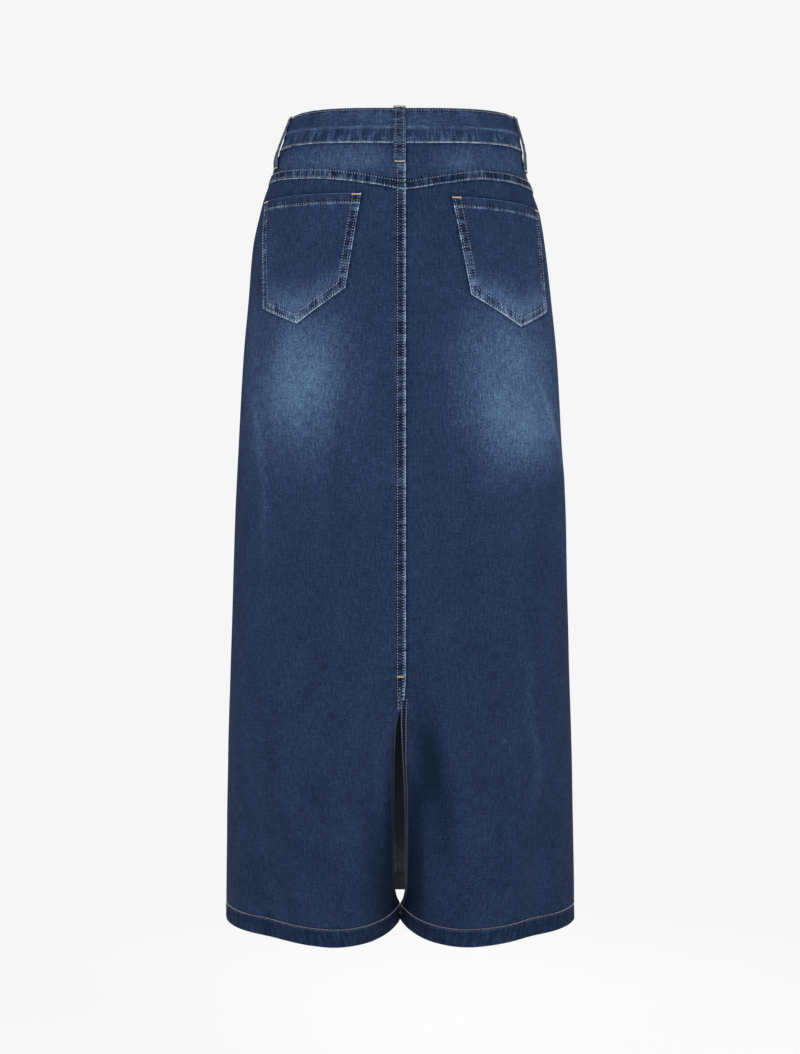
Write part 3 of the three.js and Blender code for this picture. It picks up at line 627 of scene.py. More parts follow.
def make_back_yoke(side, look, thickness):
    cloth = CLOTH[BACK, side]
    name = f"back_yoke_{SIDE_NAMES[side]}"
    seam_column = 1 if side == LEFT else 2
    columns = joined(
        (0, 0.12, 0.35, 0.7, 1.2, 1.8, 2.4, 3, 3.6, 4.6, 6, 7.4, 8.2, 8.6, 9.2, 9.8, 10.6, 11.6, 12.8),
        (14.5, 17), even(20, 190, 2.6))
    from_side = joined((0, 0.12, 0.35, 0.8, 1.6, 3, 5, 7.5))
    fixed = np.concatenate([columns, 200 - from_side[::-1]])
    share = np.concatenate([np.clip((columns - 30) / 160, 0, 1), np.ones(len(from_side))])
    guess = fixed / 200
    top = dip_of(BACK, guess) + WAISTBAND_HEIGHT - 7
    fold = column_at(YOKE_SEAM, seam_column, guess * 214)
    below = joined((0, 0.12, 0.35, 0.8, 1.3, 1.8, 2.3, 3.2), even(4.6, 8, 1.2),
                   (8.7, 9.3, 9.9, 10.8, 12, 13.5))
    upper = np.linspace(0, 1, 12)[:-1]
    down = np.vstack([top[None, :] + upper[:, None] * (fold - 13.5 - top)[None, :],
                      fold[None, :] - below[::-1][:, None]])
    width = cloth.width_at(down)
    along = fixed[None, :] + share[None, :] * (width - 200)
    tuck = np.full_like(down, 9.0 if side == RIGHT else 0.0)
    along = along - tuck * np.clip(1 - along / 16, 0, 1)
    to_fold = fold[None, :] - down
    to_side = width - along
    centre = along
    a = strip_height(centre) if side == LEFT else np.zeros_like(down)
    b = strip_height(to_fold, STRIP + 0.6)
    outer = np.maximum(a, b) + 0.4 * np.minimum(a, b)
    inner = outer - thickness
    for row in YOKE_ROWS:
        outer -= 0.42 * furrow(to_fold, row)
    outer += 0.25 * np.clip(np.sin(np.pi * (to_fold - 1.8) / 7.5), 0, 1) * (to_fold < 9.3)
    if side == LEFT:
        for row in SEAM_ROWS:
            outer -= 0.42 * furrow(centre, row)
    outer += 0.35 * b * unevenness(along / 6.5, to_fold / 14, 41 + side)
    edges = rounded(to_side, 0.8) * rounded(to_fold, 0.8) * rounded(centre + tuck, 0.7)
    middle, half = (outer + inner) / 2, (outer - inner) / 2 * edges
    outer, inner = middle + half, middle - half
    rub = 0.85 * fold_line(to_fold, 1.4) + (fold_line(centre, 1.7) if side == LEFT else 0)
    to_band = down - (dip_of(BACK, guess) + WAISTBAND_HEIGHT)[None, :]
    seam_h = np.where(to_fold < 10, 1.0, 0.6 * near(to_fold - 10, 2.5)) + 0.3 * near(to_band, 5)
    channel = seam_channel(side, centre, centre)
    seam_v = channel + 0.3 * near(to_side, 6)
    # Painted shadow under the waistband's edge and beside the felled strip's edge, and darker in and between
    # the stitch rows.
    painted_shade_and_dark_rows = np.maximum.reduce([furrow(to_fold, YOKE_ROWS[0], 0.7), furrow(to_fold, YOKE_ROWS[1], 0.7),
                                   0.3 * (to_fold < 9) * (to_fold > 2), 0.8 * near(to_band, 1.8)])
    if side == LEFT:
        painted_shade_and_dark_rows = np.maximum.reduce([painted_shade_and_dark_rows, *(furrow(centre, row, 0.7) for row in SEAM_ROWS)])
    else:
        painted_shade_and_dark_rows = np.maximum(painted_shade_and_dark_rows, 0.9 * near(centre, 1.4))
    masks = {"wash_and_shade": cloth.wash_and_shade(along, down) + 0.06, "rub": rub, "seam_across": np.clip(seam_h, 0, 1),
             "seam_down": np.clip(seam_v, 0, 1), "painted_shade_and_dark_rows": painted_shade_and_dark_rows}
    chart = (side * along / 1000, -down / 1000 + 3)
    piece = make_shell(f"{name}_cloth", cloth.point(along, down, outer),
                       cloth.point(along, down, inner), chart, masks, look)
    finish_piece(piece, "denim_yoke", name)
    run = np.arange(1.0, cloth.width_at(95) - 1, 0.5)
    for row in YOKE_ROWS:
        lap = 0.35 * strip_height(run) if side == LEFT else 0
        seam_line = column_at(YOKE_SEAM, seam_column, run)
        sew(cloth, run, seam_line - row, 0.95 + lap, "tan" if row < 5 else "pale")
    return piece


def make_front_panel(side, look, thickness):
    cloth = CLOTH[FRONT, side]
    name = f"front_panel_{SIDE_NAMES[side]}"
    columns = joined((0, 0.12, 0.35, 0.7, 1.2, 1.8, 2.4, 3, 3.6, 5, 7, 8.4, 9.2, 10, 11.2, 12.8),
                     (15, 18), even(22, 222, 4.8))
    from_side = joined((0, 0.12, 0.35, 0.8, 1.6, 3, 5.5, 9, 13, 18))
    fixed = np.concatenate([columns, 246 - from_side[::-1]])
    share = np.concatenate([np.clip((columns - 60) / 165, 0, 1) * 0.98, np.ones(len(from_side))])
    guess = fixed / 246
    top = dip_of(FRONT, guess) + WAISTBAND_HEIGHT - 7
    rows = joined(even(0, 250, 4.2), even(254, 915 - 45, 5.2))
    upper = top[None, :] + rows[:, None] * ((915 - top) / rows[-1])[None, :]
    hem_rows = joined((919, 922, 923.4, 924.2, 925, 925.8, 926.6, 928), even(930.5, 941, 3.4),
                      (943.4, 944.2, 944.65, 944.9, 945))
    down = np.vstack([upper, np.broadcast_to(hem_rows[:, None], (len(hem_rows), fixed.size))])
    width = cloth.width_at(down)
    along = fixed[None, :] + share[None, :] * (width - 246)
    tuck = np.full_like(down, 9.0 if side == RIGHT else 0.0)
    along = along - tuck * np.clip(1 - along / 16, 0, 1)
    centre, to_side, to_hem = along, width - along, SKIRT_LENGTH - down
    strip = strip_height(centre) if side == LEFT else np.zeros_like(down)
    hem = hem_share(down)
    outer = strip + 0.15 * hem
    inner = strip * 0.95 - thickness - hem * thickness * 0.85
    if side == LEFT:
        for row in SEAM_ROWS:
            outer -= 0.42 * furrow(centre, row) * eased((down - 205) / 14)
        outer -= 0.42 * furrow(centre, 1.8) * (1 - eased((down - 205) / 14))
        curve = np.where(down < 186, 37 - centre, 0)
        outer -= 0.3 * furrow(curve, 0) * (down < 186)
    outer -= 0.4 * furrow(to_hem, HEM_DEPTH) + 0.12 * furrow(to_hem, HEM_DEPTH, 4)
    hem_twist = unevenness(along / 13 + down / 16, down / 30, 51 + side)
    outer += 0.5 * hem * hem_twist * (0.4 + 0.6 * near(to_hem - 12, 5))
    edges = rounded(to_side, 0.8) * rounded(to_hem, 0.9) * rounded(centre + tuck, 0.7)
    middle, half = (outer + inner) / 2, (outer - inner) / 2 * edges
    outer, inner = middle + half, middle - half
    rub = (fold_line(centre, 1.7) if side == LEFT else 0) + 0.15 * fold_line(to_hem, 1.3)
    rub = rub + 0.45 * furrow(to_hem, HEM_DEPTH - 1.8, 0.8)
    to_band = down - (dip_of(FRONT, guess) + WAISTBAND_HEIGHT)[None, :]
    seam_h = 0.35 * hem + 0.4 * near(to_band, 6)
    channel = seam_channel(side, centre, centre)
    seam_v = channel + 0.4 * near(to_side, 6)
    seam_v = seam_v + 0.5 * near(np.abs(centre - 34), 5) * (down < 195) * (side == LEFT)
    # Painted shadow under the waistband's edge and beside the felled strip's edge, and darker stitch rows.
    painted_shade_and_dark_rows = np.maximum(furrow(to_hem, HEM_DEPTH, 0.8), 0.8 * near(to_band, 1.8))
    if side == LEFT:
        for row in SEAM_ROWS:
            painted_shade_and_dark_rows = np.maximum(painted_shade_and_dark_rows, furrow(centre, row, 0.7))
    else:
        painted_shade_and_dark_rows = np.maximum(painted_shade_and_dark_rows, 0.9 * near(centre, 1.4))
    masks = {"wash_and_shade": cloth.wash_and_shade(along, down) - 0.15 * hem, "rub": rub,
             "seam_across": np.clip(seam_h, 0, 1), "seam_down": np.clip(seam_v, 0, 1), "painted_shade_and_dark_rows": painted_shade_and_dark_rows}
    chart = (side * along / 1000 + 2, -down / 1000)
    # Painted shade on the inner wall behind the slit: dark where the top of the slit shades it, paler lower
    # down where light comes in, and dark again over the hem.
    behind_slit = np.exp(-(along / 60) ** 2) * eased((down - 600) / 80)
    inner_shade_and_wear = masks["wash_and_shade"] + behind_slit * (2.2 * eased((down - 800) / 110) - 1.9 - 1.4 * hem)
    piece = make_shell(f"{name}_cloth", cloth.point(along, down, outer),
                       cloth.point(along, down, inner), chart, masks, look, {"wash_and_shade": inner_shade_and_wear})
    finish_piece(piece, "denim", name)
    if side == LEFT:
        sew(cloth, 1.8, np.arange(60, 212, 0.5), 0.98)
        for row in SEAM_ROWS:
            sew(cloth, row, np.arange(214, 940, 0.5), 0.98)
        for offset in (0, 5.5):
            turn = np.linspace(0, math.pi / 2, 90)
            reach = 37 - offset
            bend_along = reach - (reach - 10) * (1 - np.cos(turn))
            bend_down = 176 - offset + 30 * np.sin(turn)
            sew(cloth, np.concatenate([np.full(230, reach), bend_along]),
                np.concatenate([np.linspace(60, 176 - offset, 230), bend_down]), 0.05)
    sew(cloth, np.arange(1.2, cloth.width_at(925) - 1, 0.5), SKIRT_LENGTH - HEM_DEPTH, 0.0)
    return piece


BAND_ROWS = (3.0, 1.8)


def ridge_drop(along):
    """Depth of the soft ridge that the folded edge inside the waistband makes."""
    return 24 + 1.8 * unevenness(along / 38, 0 * along, 62)


def make_waistband(look):
    drops = joined((0, 0.12, 0.35, 0.75, 1.3, 1.8, 2.3, 3.2), even(5, 19, 2.8),
                   (20.6, 22, 23.2, 24.2, 25.4, 27, 29),
                   even(31, 37, 2), (38.8, 40, 40.6, 41, 41.4, 41.8, 42.2, 42.4, 42.5))
    steps = joined((0, 0.004, 0.01), even(0.02, 0.985, 0.0095), (0.992, 1))
    quarters = [(FRONT, LEFT, steps[:-1]), (BACK, LEFT, steps[::-1][:-1]), (BACK, RIGHT, steps[:-1]),
                (FRONT, RIGHT, steps[::-1])]
    under = even(2.5, UNDERLAP, 2.5)
    stations = [(face, side, f, 0.0) for face, side, run in quarters for f in run]
    stations += [(FRONT, LEFT, 0.0, extra) for extra in under]
    count = len(stations)
    outer = np.zeros((len(drops), count, 3))
    inner = np.zeros_like(outer)
    run = np.zeros(count)
    wash_and_shade, ridges = np.zeros((len(drops), count)), np.zeros((len(drops), count))
    for j, (face, side, fraction, extra) in enumerate(stations):
        cloth = CLOTH[face, side]
        down = dip_of(face, fraction) + drops
        along = fraction * cloth.width_at(down) + extra
        beneath = 2.9
        is_under = extra > 0 or (face, side) == (FRONT, RIGHT)
        to_end = along if (face, side) == (FRONT, RIGHT) else np.zeros_like(along)
        sink = beneath * (1 - eased(to_end / 45)) if is_under else 0
        top = 0.95 - sink
        bottom = top - 2.4
        to_top, to_bottom = drops, WAISTBAND_HEIGHT - drops
        ridge = ridge_drop(along)
        relief = (-0.4 * furrow(to_top, BAND_ROWS[0], 0.8) - 0.45 * furrow(to_bottom, BAND_ROWS[1], 0.8)
                  + 0.55 * furrow(drops, ridge, 2.6) - 0.25 * furrow(drops, ridge + 4.3, 3.0))
        if extra > 0:
            relief = relief * 0
        high = top + relief
        end = 1.0
        if j < 4:
            end = rounded(np.array(j * 0.45), 1.2)
        if j == count - 1:
            end = 0.0
        edges = rounded(to_top, 1.25) * (0.35 + 0.65 * rounded(to_bottom, 1.0)) * end
        middle, half = (high + bottom) / 2, (high - bottom) / 2 * edges
        outer[:, j] = cloth.point(along, down, middle + half)
        inner[:, j] = cloth.point(along, down, middle - half)
        ridges[:, j] = furrow(drops, ridge, 1.5) * (0.75 + 0.6 * unevenness(along / 9, drops / 50, 63 + side))
        wash_and_shade[:, j] = (0.24 + 0.12 * unevenness(along / 26, drops / 14, 61) * (extra == 0)
                      - 0.10 * furrow(drops, ridge + 6, 5))
    spans = np.linalg.norm(np.diff(outer[len(drops) // 2], axis=0), axis=1)
    run[1:] = np.cumsum(spans)
    to_top, to_bottom = drops[:, None], (WAISTBAND_HEIGHT - drops)[:, None]
    masks = {
        "wash_and_shade": wash_and_shade,
        "rub": 0.35 * fold_line(to_top, 1.0) + 0.95 * fold_line(to_bottom, 1.5) + 0.42 * ridges,
        "seam_across": 0.0,
        "seam_down": np.clip(0.6 * near(to_bottom - 12, 4) + 0.6 * near(to_top - 3, 4), 0, 1),
        # Darker in the furrows of the two stitch rows.
        "painted_shade_and_dark_rows": np.maximum(furrow(to_top, BAND_ROWS[0], 0.7),
                                furrow(to_bottom, BAND_ROWS[1], 0.7)),
    }
    chart = (np.broadcast_to(-drops[:, None] / 1000 + 5, wash_and_shade.shape),
             np.broadcast_to(run[None, :], wash_and_shade.shape))
    piece = make_shell("waistband_cloth", outer, inner, chart, masks, look)
    finish_piece(piece, "denim_yoke", "waistband")
    for face in (BACK, FRONT):
        for side in (LEFT, RIGHT):
            cloth = CLOTH[face, side]
            reach = cloth.width_at(30)
            if (face, side) == (FRONT, RIGHT):
                share = np.linspace(2.0 / reach, 1, int(reach * 2))
                sink = 2.9 * (1 - eased(share * reach / 45))
            else:
                share = np.linspace(0.004, 1, int(reach * 2))
                sink = 0
            for drop in (BAND_ROWS[0], WAISTBAND_HEIGHT - BAND_ROWS[1]):
                down = dip_of(face, share) + drop
                sew(cloth, share * cloth.width_at(down), down, 0.86 - sink, "pale" if drop < 5 else "tan")
    cloth = CLOTH[FRONT, LEFT]
    sew(cloth, 2.0, np.linspace(DIP[FRONT] + 2, DIP[FRONT] + 40.5, 90), 0.95)
    return piece


def make_pocket(side, look, thickness):
    cloth = CLOTH[BACK, side]
    name = f"back_pocket_{SIDE_NAMES[side]}"
    inner_top, outer_top, inner_bottom, tip, outer_bottom = (np.array(p, float) for p in POCKETS[side])
    tip_share = (tip[0] - inner_bottom[0]) / (outer_bottom[0] - inner_bottom[0])
    width = outer_top[0] - inner_top[0]
    edge = joined((0, 0.12, 0.35, 0.8, 1.2, 1.6, 2.4, 4, 5.6, 6.4, 7, 7.6, 8.4, 10))
    columns = joined(edge, even(13, width - 13, 3.6), width - edge, (tip_share * width,)) / width
    depth = inner_bottom[1] - inner_top[1]
    rows = joined((0, 0.12, 0.35, 0.8, 1.5, 3), even(5, 9, 1.4), (10, 10.6, 11.2, 11.8, 12.8, 14.4),
                  even(17.5, depth - 13, 3.6), depth - edge * 1.2) / depth
    u, v = np.meshgrid(columns, rows)
    low = np.where((u <= tip_share)[..., None],
                   inner_bottom + (tip - inner_bottom) * (u / tip_share)[..., None],
                   tip + (outer_bottom - tip) * ((u - tip_share) / (1 - tip_share))[..., None])
    high = inner_top + (outer_top - inner_top) * u[..., None]
    spot = high + (low - high) * v[..., None]
    along, down = spot[..., 0], spot[..., 1]
    left = (u * width) * 0.98
    right = ((1 - u) * width) * 0.98
    reach_down = low[..., 1] - high[..., 1]
    to_bottom = (1 - v) * reach_down * 0.86
    to_top = v * reach_down
    to_edge = np.minimum(np.minimum(left, right), to_bottom)
    band = 1 - eased((to_top - 10.8) / 1.2)
    slack = np.sin(np.pi * u) * np.clip(1 - v, 0, 1) ** 2
    body = 0.25 * (1 - np.exp(-np.clip(to_edge - 11, 0, None) / 12))
    outer = 0.15 + thickness + 0.45 * band + 0.7 * slack + body
    lower = 0.12 + 0.7 * slack + body * 0.5
    for row in POCKET_ROWS:
        outer -= 0.36 * furrow(to_edge, row, 0.7)
    near_row, far_row = POCKET_ROWS
    between = (to_edge - near_row) / (far_row - near_row)
    outer += 0.2 * np.clip(np.sin(np.pi * between), 0, 1) * (between < 1)
    outer -= 0.4 * furrow(to_top, 10.2, 0.8) * (to_edge > 1)
    outer += 0.18 * band * unevenness(along / 8, down / 12, 71 + side)
    edges = rounded(to_edge, 0.7) * rounded(to_top, 1.0)
    middle, half = (outer + lower) / 2, (outer - lower) / 2 * edges
    rub = 0.9 * fold_line(to_edge, 1.2) + 0.45 * fold_line(to_top, 1.1) + 0.75 * furrow(to_top, 11.7, 0.9)
    sides = np.minimum(left, right)
    seam_v = np.where(sides < 9.3, 1.0, 0.6 * near(sides - 9.3, 2.0)) * eased((to_bottom - 5) / 8)
    seam_h = np.where(to_bottom < 9.3, 1.0, 0.6 * near(to_bottom - 9.3, 2.2)) + near(np.abs(to_top - 10.5), 3)
    # Darker in the furrows of the stitch rows.
    painted_shade_and_dark_rows = np.maximum.reduce([furrow(to_edge, near_row, 0.6), furrow(to_edge, far_row, 0.6),
                                   furrow(to_top, 10.2, 0.7)])
    low_fade = 0.20 * np.exp(-((to_bottom - 14) / 17) ** 2) * (0.9 if side == LEFT else 1.2)
    wash_and_shade = cloth.wash_and_shade(along, down) + 0.03 + low_fade
    masks = {"wash_and_shade": wash_and_shade, "rub": rub, "seam_across": np.clip(seam_h, 0, 1),
             "seam_down": np.clip(seam_v, 0, 1), "painted_shade_and_dark_rows": painted_shade_and_dark_rows}
    chart = (side * along / 1000 + 7, -down / 1000)
    piece = make_shell(f"{name}_cloth", cloth.point(along, down, middle + half),
                       cloth.point(along, down, middle - half), chart, masks, look)
    finish_piece(piece, "denim", name)

    corners = [inner_top, inner_bottom, tip, outer_bottom, outer_top]

    def inset(distance):
        lines = []
        for a, b in zip(corners, corners[1:]):
            direction = (b - a) / np.linalg.norm(b - a)
            lines.append((a + distance * np.array([direction[1], -direction[0]]), direction))
        points = []
        for (p, d), (q, e) in zip(lines, lines[1:]):
            t = np.linalg.solve(np.array([d, -e]).T, q - p)[0]
            points.append(p + d * t)
        start = lines[0][0] + lines[0][1] * 0.8
        end = lines[-1][0] + lines[-1][1] * (np.linalg.norm(corners[-1] - corners[-2]) - 0.8)
        return [start, *points, end]

    for distance in POCKET_ROWS:
        route = inset(distance)
        for a, b in zip(route, route[1:]):
            count = int(np.linalg.norm(b - a) * 2)
            t = np.linspace(0, 1, count)
            spot = a + (b - a) * t[:, None]
            over_band = 1 - eased((spot[:, 1] - high[0, 0, 1] - 9) / 3)
            sew(cloth, spot[:, 0], spot[:, 1], 0.03 + thickness + 0.45 * over_band, "pale")
    t = np.linspace(0.01, 0.99, int(width * 2))
    line = inner_top + (outer_top - inner_top) * t[:, None]
    slack_here = 0.7 * np.sin(np.pi * t) * (1 - 10.2 / depth) ** 2
    sew(cloth, line[:, 0] + (inner_bottom[0] - inner_top[0]) * 10.2 / depth * (1 - t), line[:, 1] + 10.2,
        0.15 + thickness + 0.2 + slack_here, "tan")
    for corner, step in ((inner_top, 1), (outer_top, -1)):
        t = np.linspace(0, 1, 40)
        sew(cloth, corner[0] + step * (0.3 + 10.5 * t), corner[1] + 1.6 + 0 * t,
            0.15 + thickness + 0.75, "bar")
    return piece


def make_belt_loop(name, face, side, top, bottom, sway, bow, seat, look):
    cloth = CLOTH[face, side]
    across = joined((-6.75, -6.63, -6.4, -5.9, -5.0, -4.4, -3.9, -3.4, -2.4, -1.2,
                     0, 1.2, 2.4, 3.4, 3.9, 4.4, 5.0, 5.9, 6.4, 6.63, 6.75))
    length = math.hypot(bottom[0] - top[0], bottom[1] - top[1])
    places = joined((0, 0.12, 0.4, 1.0, 1.8, 3), even(4.5, length - 4.5, 1.7),
                    length - np.array((3, 1.8, 1.0, 0.4, 0.12, 0)))
    t = places[:, None] / length + 0 * across[None, :]
    middle_along = top[0] + (bottom[0] - top[0]) * t + sway * np.sin(np.pi * t)
    down = top[1] + (bottom[1] - top[1]) * t
    band_edge = dip_of(face, middle_along / cloth.width_at(down)) + WAISTBAND_HEIGHT
    over_band = 1 - eased((down - band_edge - 1) / 8)
    bowed = bow * eased(t / 0.6) * eased((1 - t) / 0.3)
    base = 0.3 + seat + (0.95 - seat) * over_band + bowed
    along = middle_along + across[None, :]
    arch = 0.35 * (1 - (across[None, :] / 6.75) ** 2)
    high = base + 1.7 + arch
    for row in (4.1,):
        high = high - 0.36 * furrow(np.abs(across), row, 0.7)[None, :]
    high = high + 0.2 * unevenness(places[:, None] / 5 + 0 * across[None, :], across[None, :] / 6, 81)
    low = base + arch * 0.6
    to_end = np.minimum(places, length - places)[:, None]
    edges = rounded(6.75 - np.abs(across[None, :]), 0.9) * rounded(to_end, 0.9)
    middle, half = (high + low) / 2, (high - low) / 2 * edges
    zero = 0 * along
    side_rub = 0.35 * fold_line(6.75 - np.abs(across[None, :]), 1.0)
    masks = {"wash_and_shade": zero + 0.10, "rub": side_rub + 0.3 * near(to_end, 1.0),
             "seam_across": zero, "seam_down": zero + 0.9,
             # Darker in the furrow of the stitch row.
             "painted_shade_and_dark_rows": furrow(np.abs(across), 4.1, 0.7)[None, :] + zero}
    chart = (zero + (across[None, :] + along[0, 0]) / 1000 + 11,
             -places[:, None] / 1000 + zero + top[0] / 100)
    piece = make_shell(f"{name}_cloth", cloth.point(along, down, middle + half),
                       cloth.point(along, down, middle - half),
                       chart, masks, look)
    finish_piece(piece, "denim_loop", name)
    run = np.linspace(0.02, 0.98, int(length * 2))
    spot = top[0] + (bottom[0] - top[0]) * run + sway * np.sin(np.pi * run)
    depth = top[1] + (bottom[1] - top[1]) * run
    edge = dip_of(face, spot / cloth.width_at(depth)) + WAISTBAND_HEIGHT
    over = 1 - eased((depth - edge - 1) / 8)
    level = 0.3 + seat + (0.95 - seat) * over + bow * eased(run / 0.6) * eased((1 - run) / 0.3) + 1.7 + 0.05
    for offset in (-4.1, 4.1):
        sew(cloth, spot + offset, depth, level)
    for end, height in ((0.022, level[0]), (0.978, level[-1])):
        t = np.linspace(-5.6, 5.6, 40)
        sew(cloth, top[0] + (bottom[0] - top[0]) * end + t, top[1] + (bottom[1] - top[1]) * end + 0 * t,
            height + 0.25, "bar")
    return piece


def stitch_up(name, looks, pitch, thread):
    """Sews every remembered row as one piece of small arched stitches."""
    rng = np.random.default_rng(len(name) * 7 + 3)
    sides = 5
    rings = ((-0.5, 0.0, -0.55), (-0.36, 0.9, -0.05), (0.0, 1.0, 0.2), (0.36, 0.9, -0.05), (0.5, 0.0, -0.55))
    template = []
    for along, size, arch in rings:
        if size == 0:
            template.append((along, 0.0, arch))
        else:
            for k in range(sides):
                turn = 2 * math.pi * k / sides
                template.append((along, size * math.cos(turn), arch + size * math.sin(turn)))
    template = np.array(template)
    faces = []
    for k in range(sides):
        n = (k + 1) % sides
        faces.append((0, 1 + n, 1 + k, 1 + k))
        for ring in range(2):
            base = 1 + ring * sides
            faces.append((base + k, base + n, base + sides + n, base + sides + k))
        last = 1 + 3 * sides
        faces.append((last, last - sides + k, last - sides + n, last - sides + n))
    places, tones, kinds = [], [], []
    for points, normals, colour in SEWN:
        steps = np.linalg.norm(np.diff(points, axis=0), axis=1)
        run = np.concatenate([[0], np.cumsum(steps)])
        kind = THREAD_COLOURS.index(colour)
        bar = colour == "bar"
        gap = 0.00052 if bar else pitch
        count = max(1, int(run[-1] / gap))
        middles = (np.arange(count) + 0.5) * run[-1] / count
        spot = np.stack([np.interp(middles, run, points[:, k]) for k in range(3)], axis=1)
        out = np.stack([np.interp(middles, run, normals[:, k]) for k in range(3)], axis=1)
        out /= np.linalg.norm(out, axis=1, keepdims=True)
        ahead = np.stack([np.interp(middles + 4e-4, run, points[:, k])
                          - np.interp(middles - 4e-4, run, points[:, k]) for k in range(3)], axis=1)
        ahead -= out * np.sum(ahead * out, axis=1, keepdims=True)
        ahead /= np.linalg.norm(ahead, axis=1, keepdims=True)
        across = np.cross(out, ahead)
        if bar:
            ahead, across = across, -ahead
            length, radius = 0.0017, 0.00034
        else:
            length, radius = pitch * 0.32, thread
            sway = rng.normal(0, 0.05, (count, 1))
            ahead, across = ahead + across * sway, across - ahead * sway
        scaled = template * np.array([length, radius, radius])
        body = (spot[:, None] + ahead[:, None] * scaled[None, :, :1] + across[:, None] * scaled[None, :, 1:2]
                + out[:, None] * scaled[None, :, 2:3])
        places.append(body.reshape(-1, 3))
        tones.append(np.repeat(rng.uniform(0, 1, count), len(template)))
        kinds.append(np.full(count, kind))
    SEWN.clear()
    places, tones, kinds = np.concatenate(places), np.concatenate(tones), np.concatenate(kinds)
    count = len(kinds)
    everything, slots = [], []
    for face in faces:
        corners = face[:3] if face[2] == face[3] else face
        everything.append(np.arange(count)[:, None] * len(template) + np.array(corners)[None, :])
        slots.append(kinds)
    sizes = np.concatenate([np.full(count, block.shape[1]) for block in everything]).astype(np.int32)
    mesh = bpy.data.meshes.new(name)
    mesh.vertices.add(len(places))
    mesh.vertices.foreach_set("co", places.astype(np.float32).ravel())
    mesh.loops.add(int(sizes.sum()))
    mesh.loops.foreach_set("vertex_index", np.concatenate([b.ravel() for b in everything]).astype(np.int32))
    mesh.polygons.add(len(sizes))
    mesh.polygons.foreach_set("loop_start", (np.cumsum(sizes) - sizes).astype(np.int32))
    mesh.polygons.foreach_set("use_smooth", np.ones(len(sizes), bool))
    for look in looks:
        mesh.materials.append(look)
    mesh.polygons.foreach_set("material_index", np.concatenate(slots).astype(np.int32))
    attribute = mesh.attributes.new("tone", "FLOAT", "POINT")
    attribute.data.foreach_set("value", tones.astype(np.float32))
    mesh.update()
    mesh.validate()
    piece = bpy.data.objects.new(name, mesh)
    bpy.context.scene.collection.objects.link(piece)
    slots = [m["slot"] for m in frame["record"]["materials"]]
    return finish_piece(piece, "thread" if "thread" in slots else "denim_loop")


def put(tree, kind, values=None, **settings):
    node = tree.nodes.new(kind)
    for name, value in settings.items():
        setattr(node, name, value)
    for socket, value in (values or {}).items():
        if isinstance(value, bpy.types.NodeSocket):
            tree.links.new(value, node.inputs[socket])
        else:
            node.inputs[socket].default_value = value
    return node


def calc(tree, operation, a, b=0.0, clamp=False):
    return put(tree, "ShaderNodeMath", {0: a, 1: b}, operation=operation, use_clamp=clamp).outputs[0]


def spread(tree, value, low, high, to_low=0.0, to_high=1.0, kind="SMOOTHSTEP"):
    node = put(tree, "ShaderNodeMapRange",
               {"Value": value, "From Min": low, "From Max": high, "To Min": to_low,
                                            "To Max": to_high}, interpolation_type=kind)
    return node.outputs["Result"]


def blend_colours(tree, share, first, second):
    node = put(tree, "ShaderNodeMix", data_type="RGBA")
    for socket, value in ((node.inputs[0], share), (node.inputs[6], first), (node.inputs[7], second)):
        if isinstance(value, bpy.types.NodeSocket):
            tree.links.new(value, socket)
        else:
            socket.default_value = value
    return node.outputs[2]


def cloth_noise(tree, place, across, along, detail=2.0, rough=0.55):
    stretched = put(tree, "ShaderNodeVectorMath", {0: place, 1: (across, along, 1.0)}, operation="MULTIPLY")
    noise = put(tree, "ShaderNodeTexNoise", {"Vector": stretched.outputs[0], "Scale": 1.0, "Detail": detail,
                                             "Roughness": rough}, noise_dimensions="2D")
    return noise.outputs["Fac"]


def new_group(name, inputs, outputs):
    group = bpy.data.node_groups.new(name, "ShaderNodeTree")
    for label, kind, default in inputs:
        socket = group.interface.new_socket(name=label, in_out="INPUT", socket_type=kind)
        if default is not None:
            socket.default_value = default
    for label, kind in outputs:
        group.interface.new_socket(name=label, in_out="OUTPUT", socket_type=kind)
    return group, group.nodes.new("NodeGroupInput"), group.nodes.new("NodeGroupOutput")


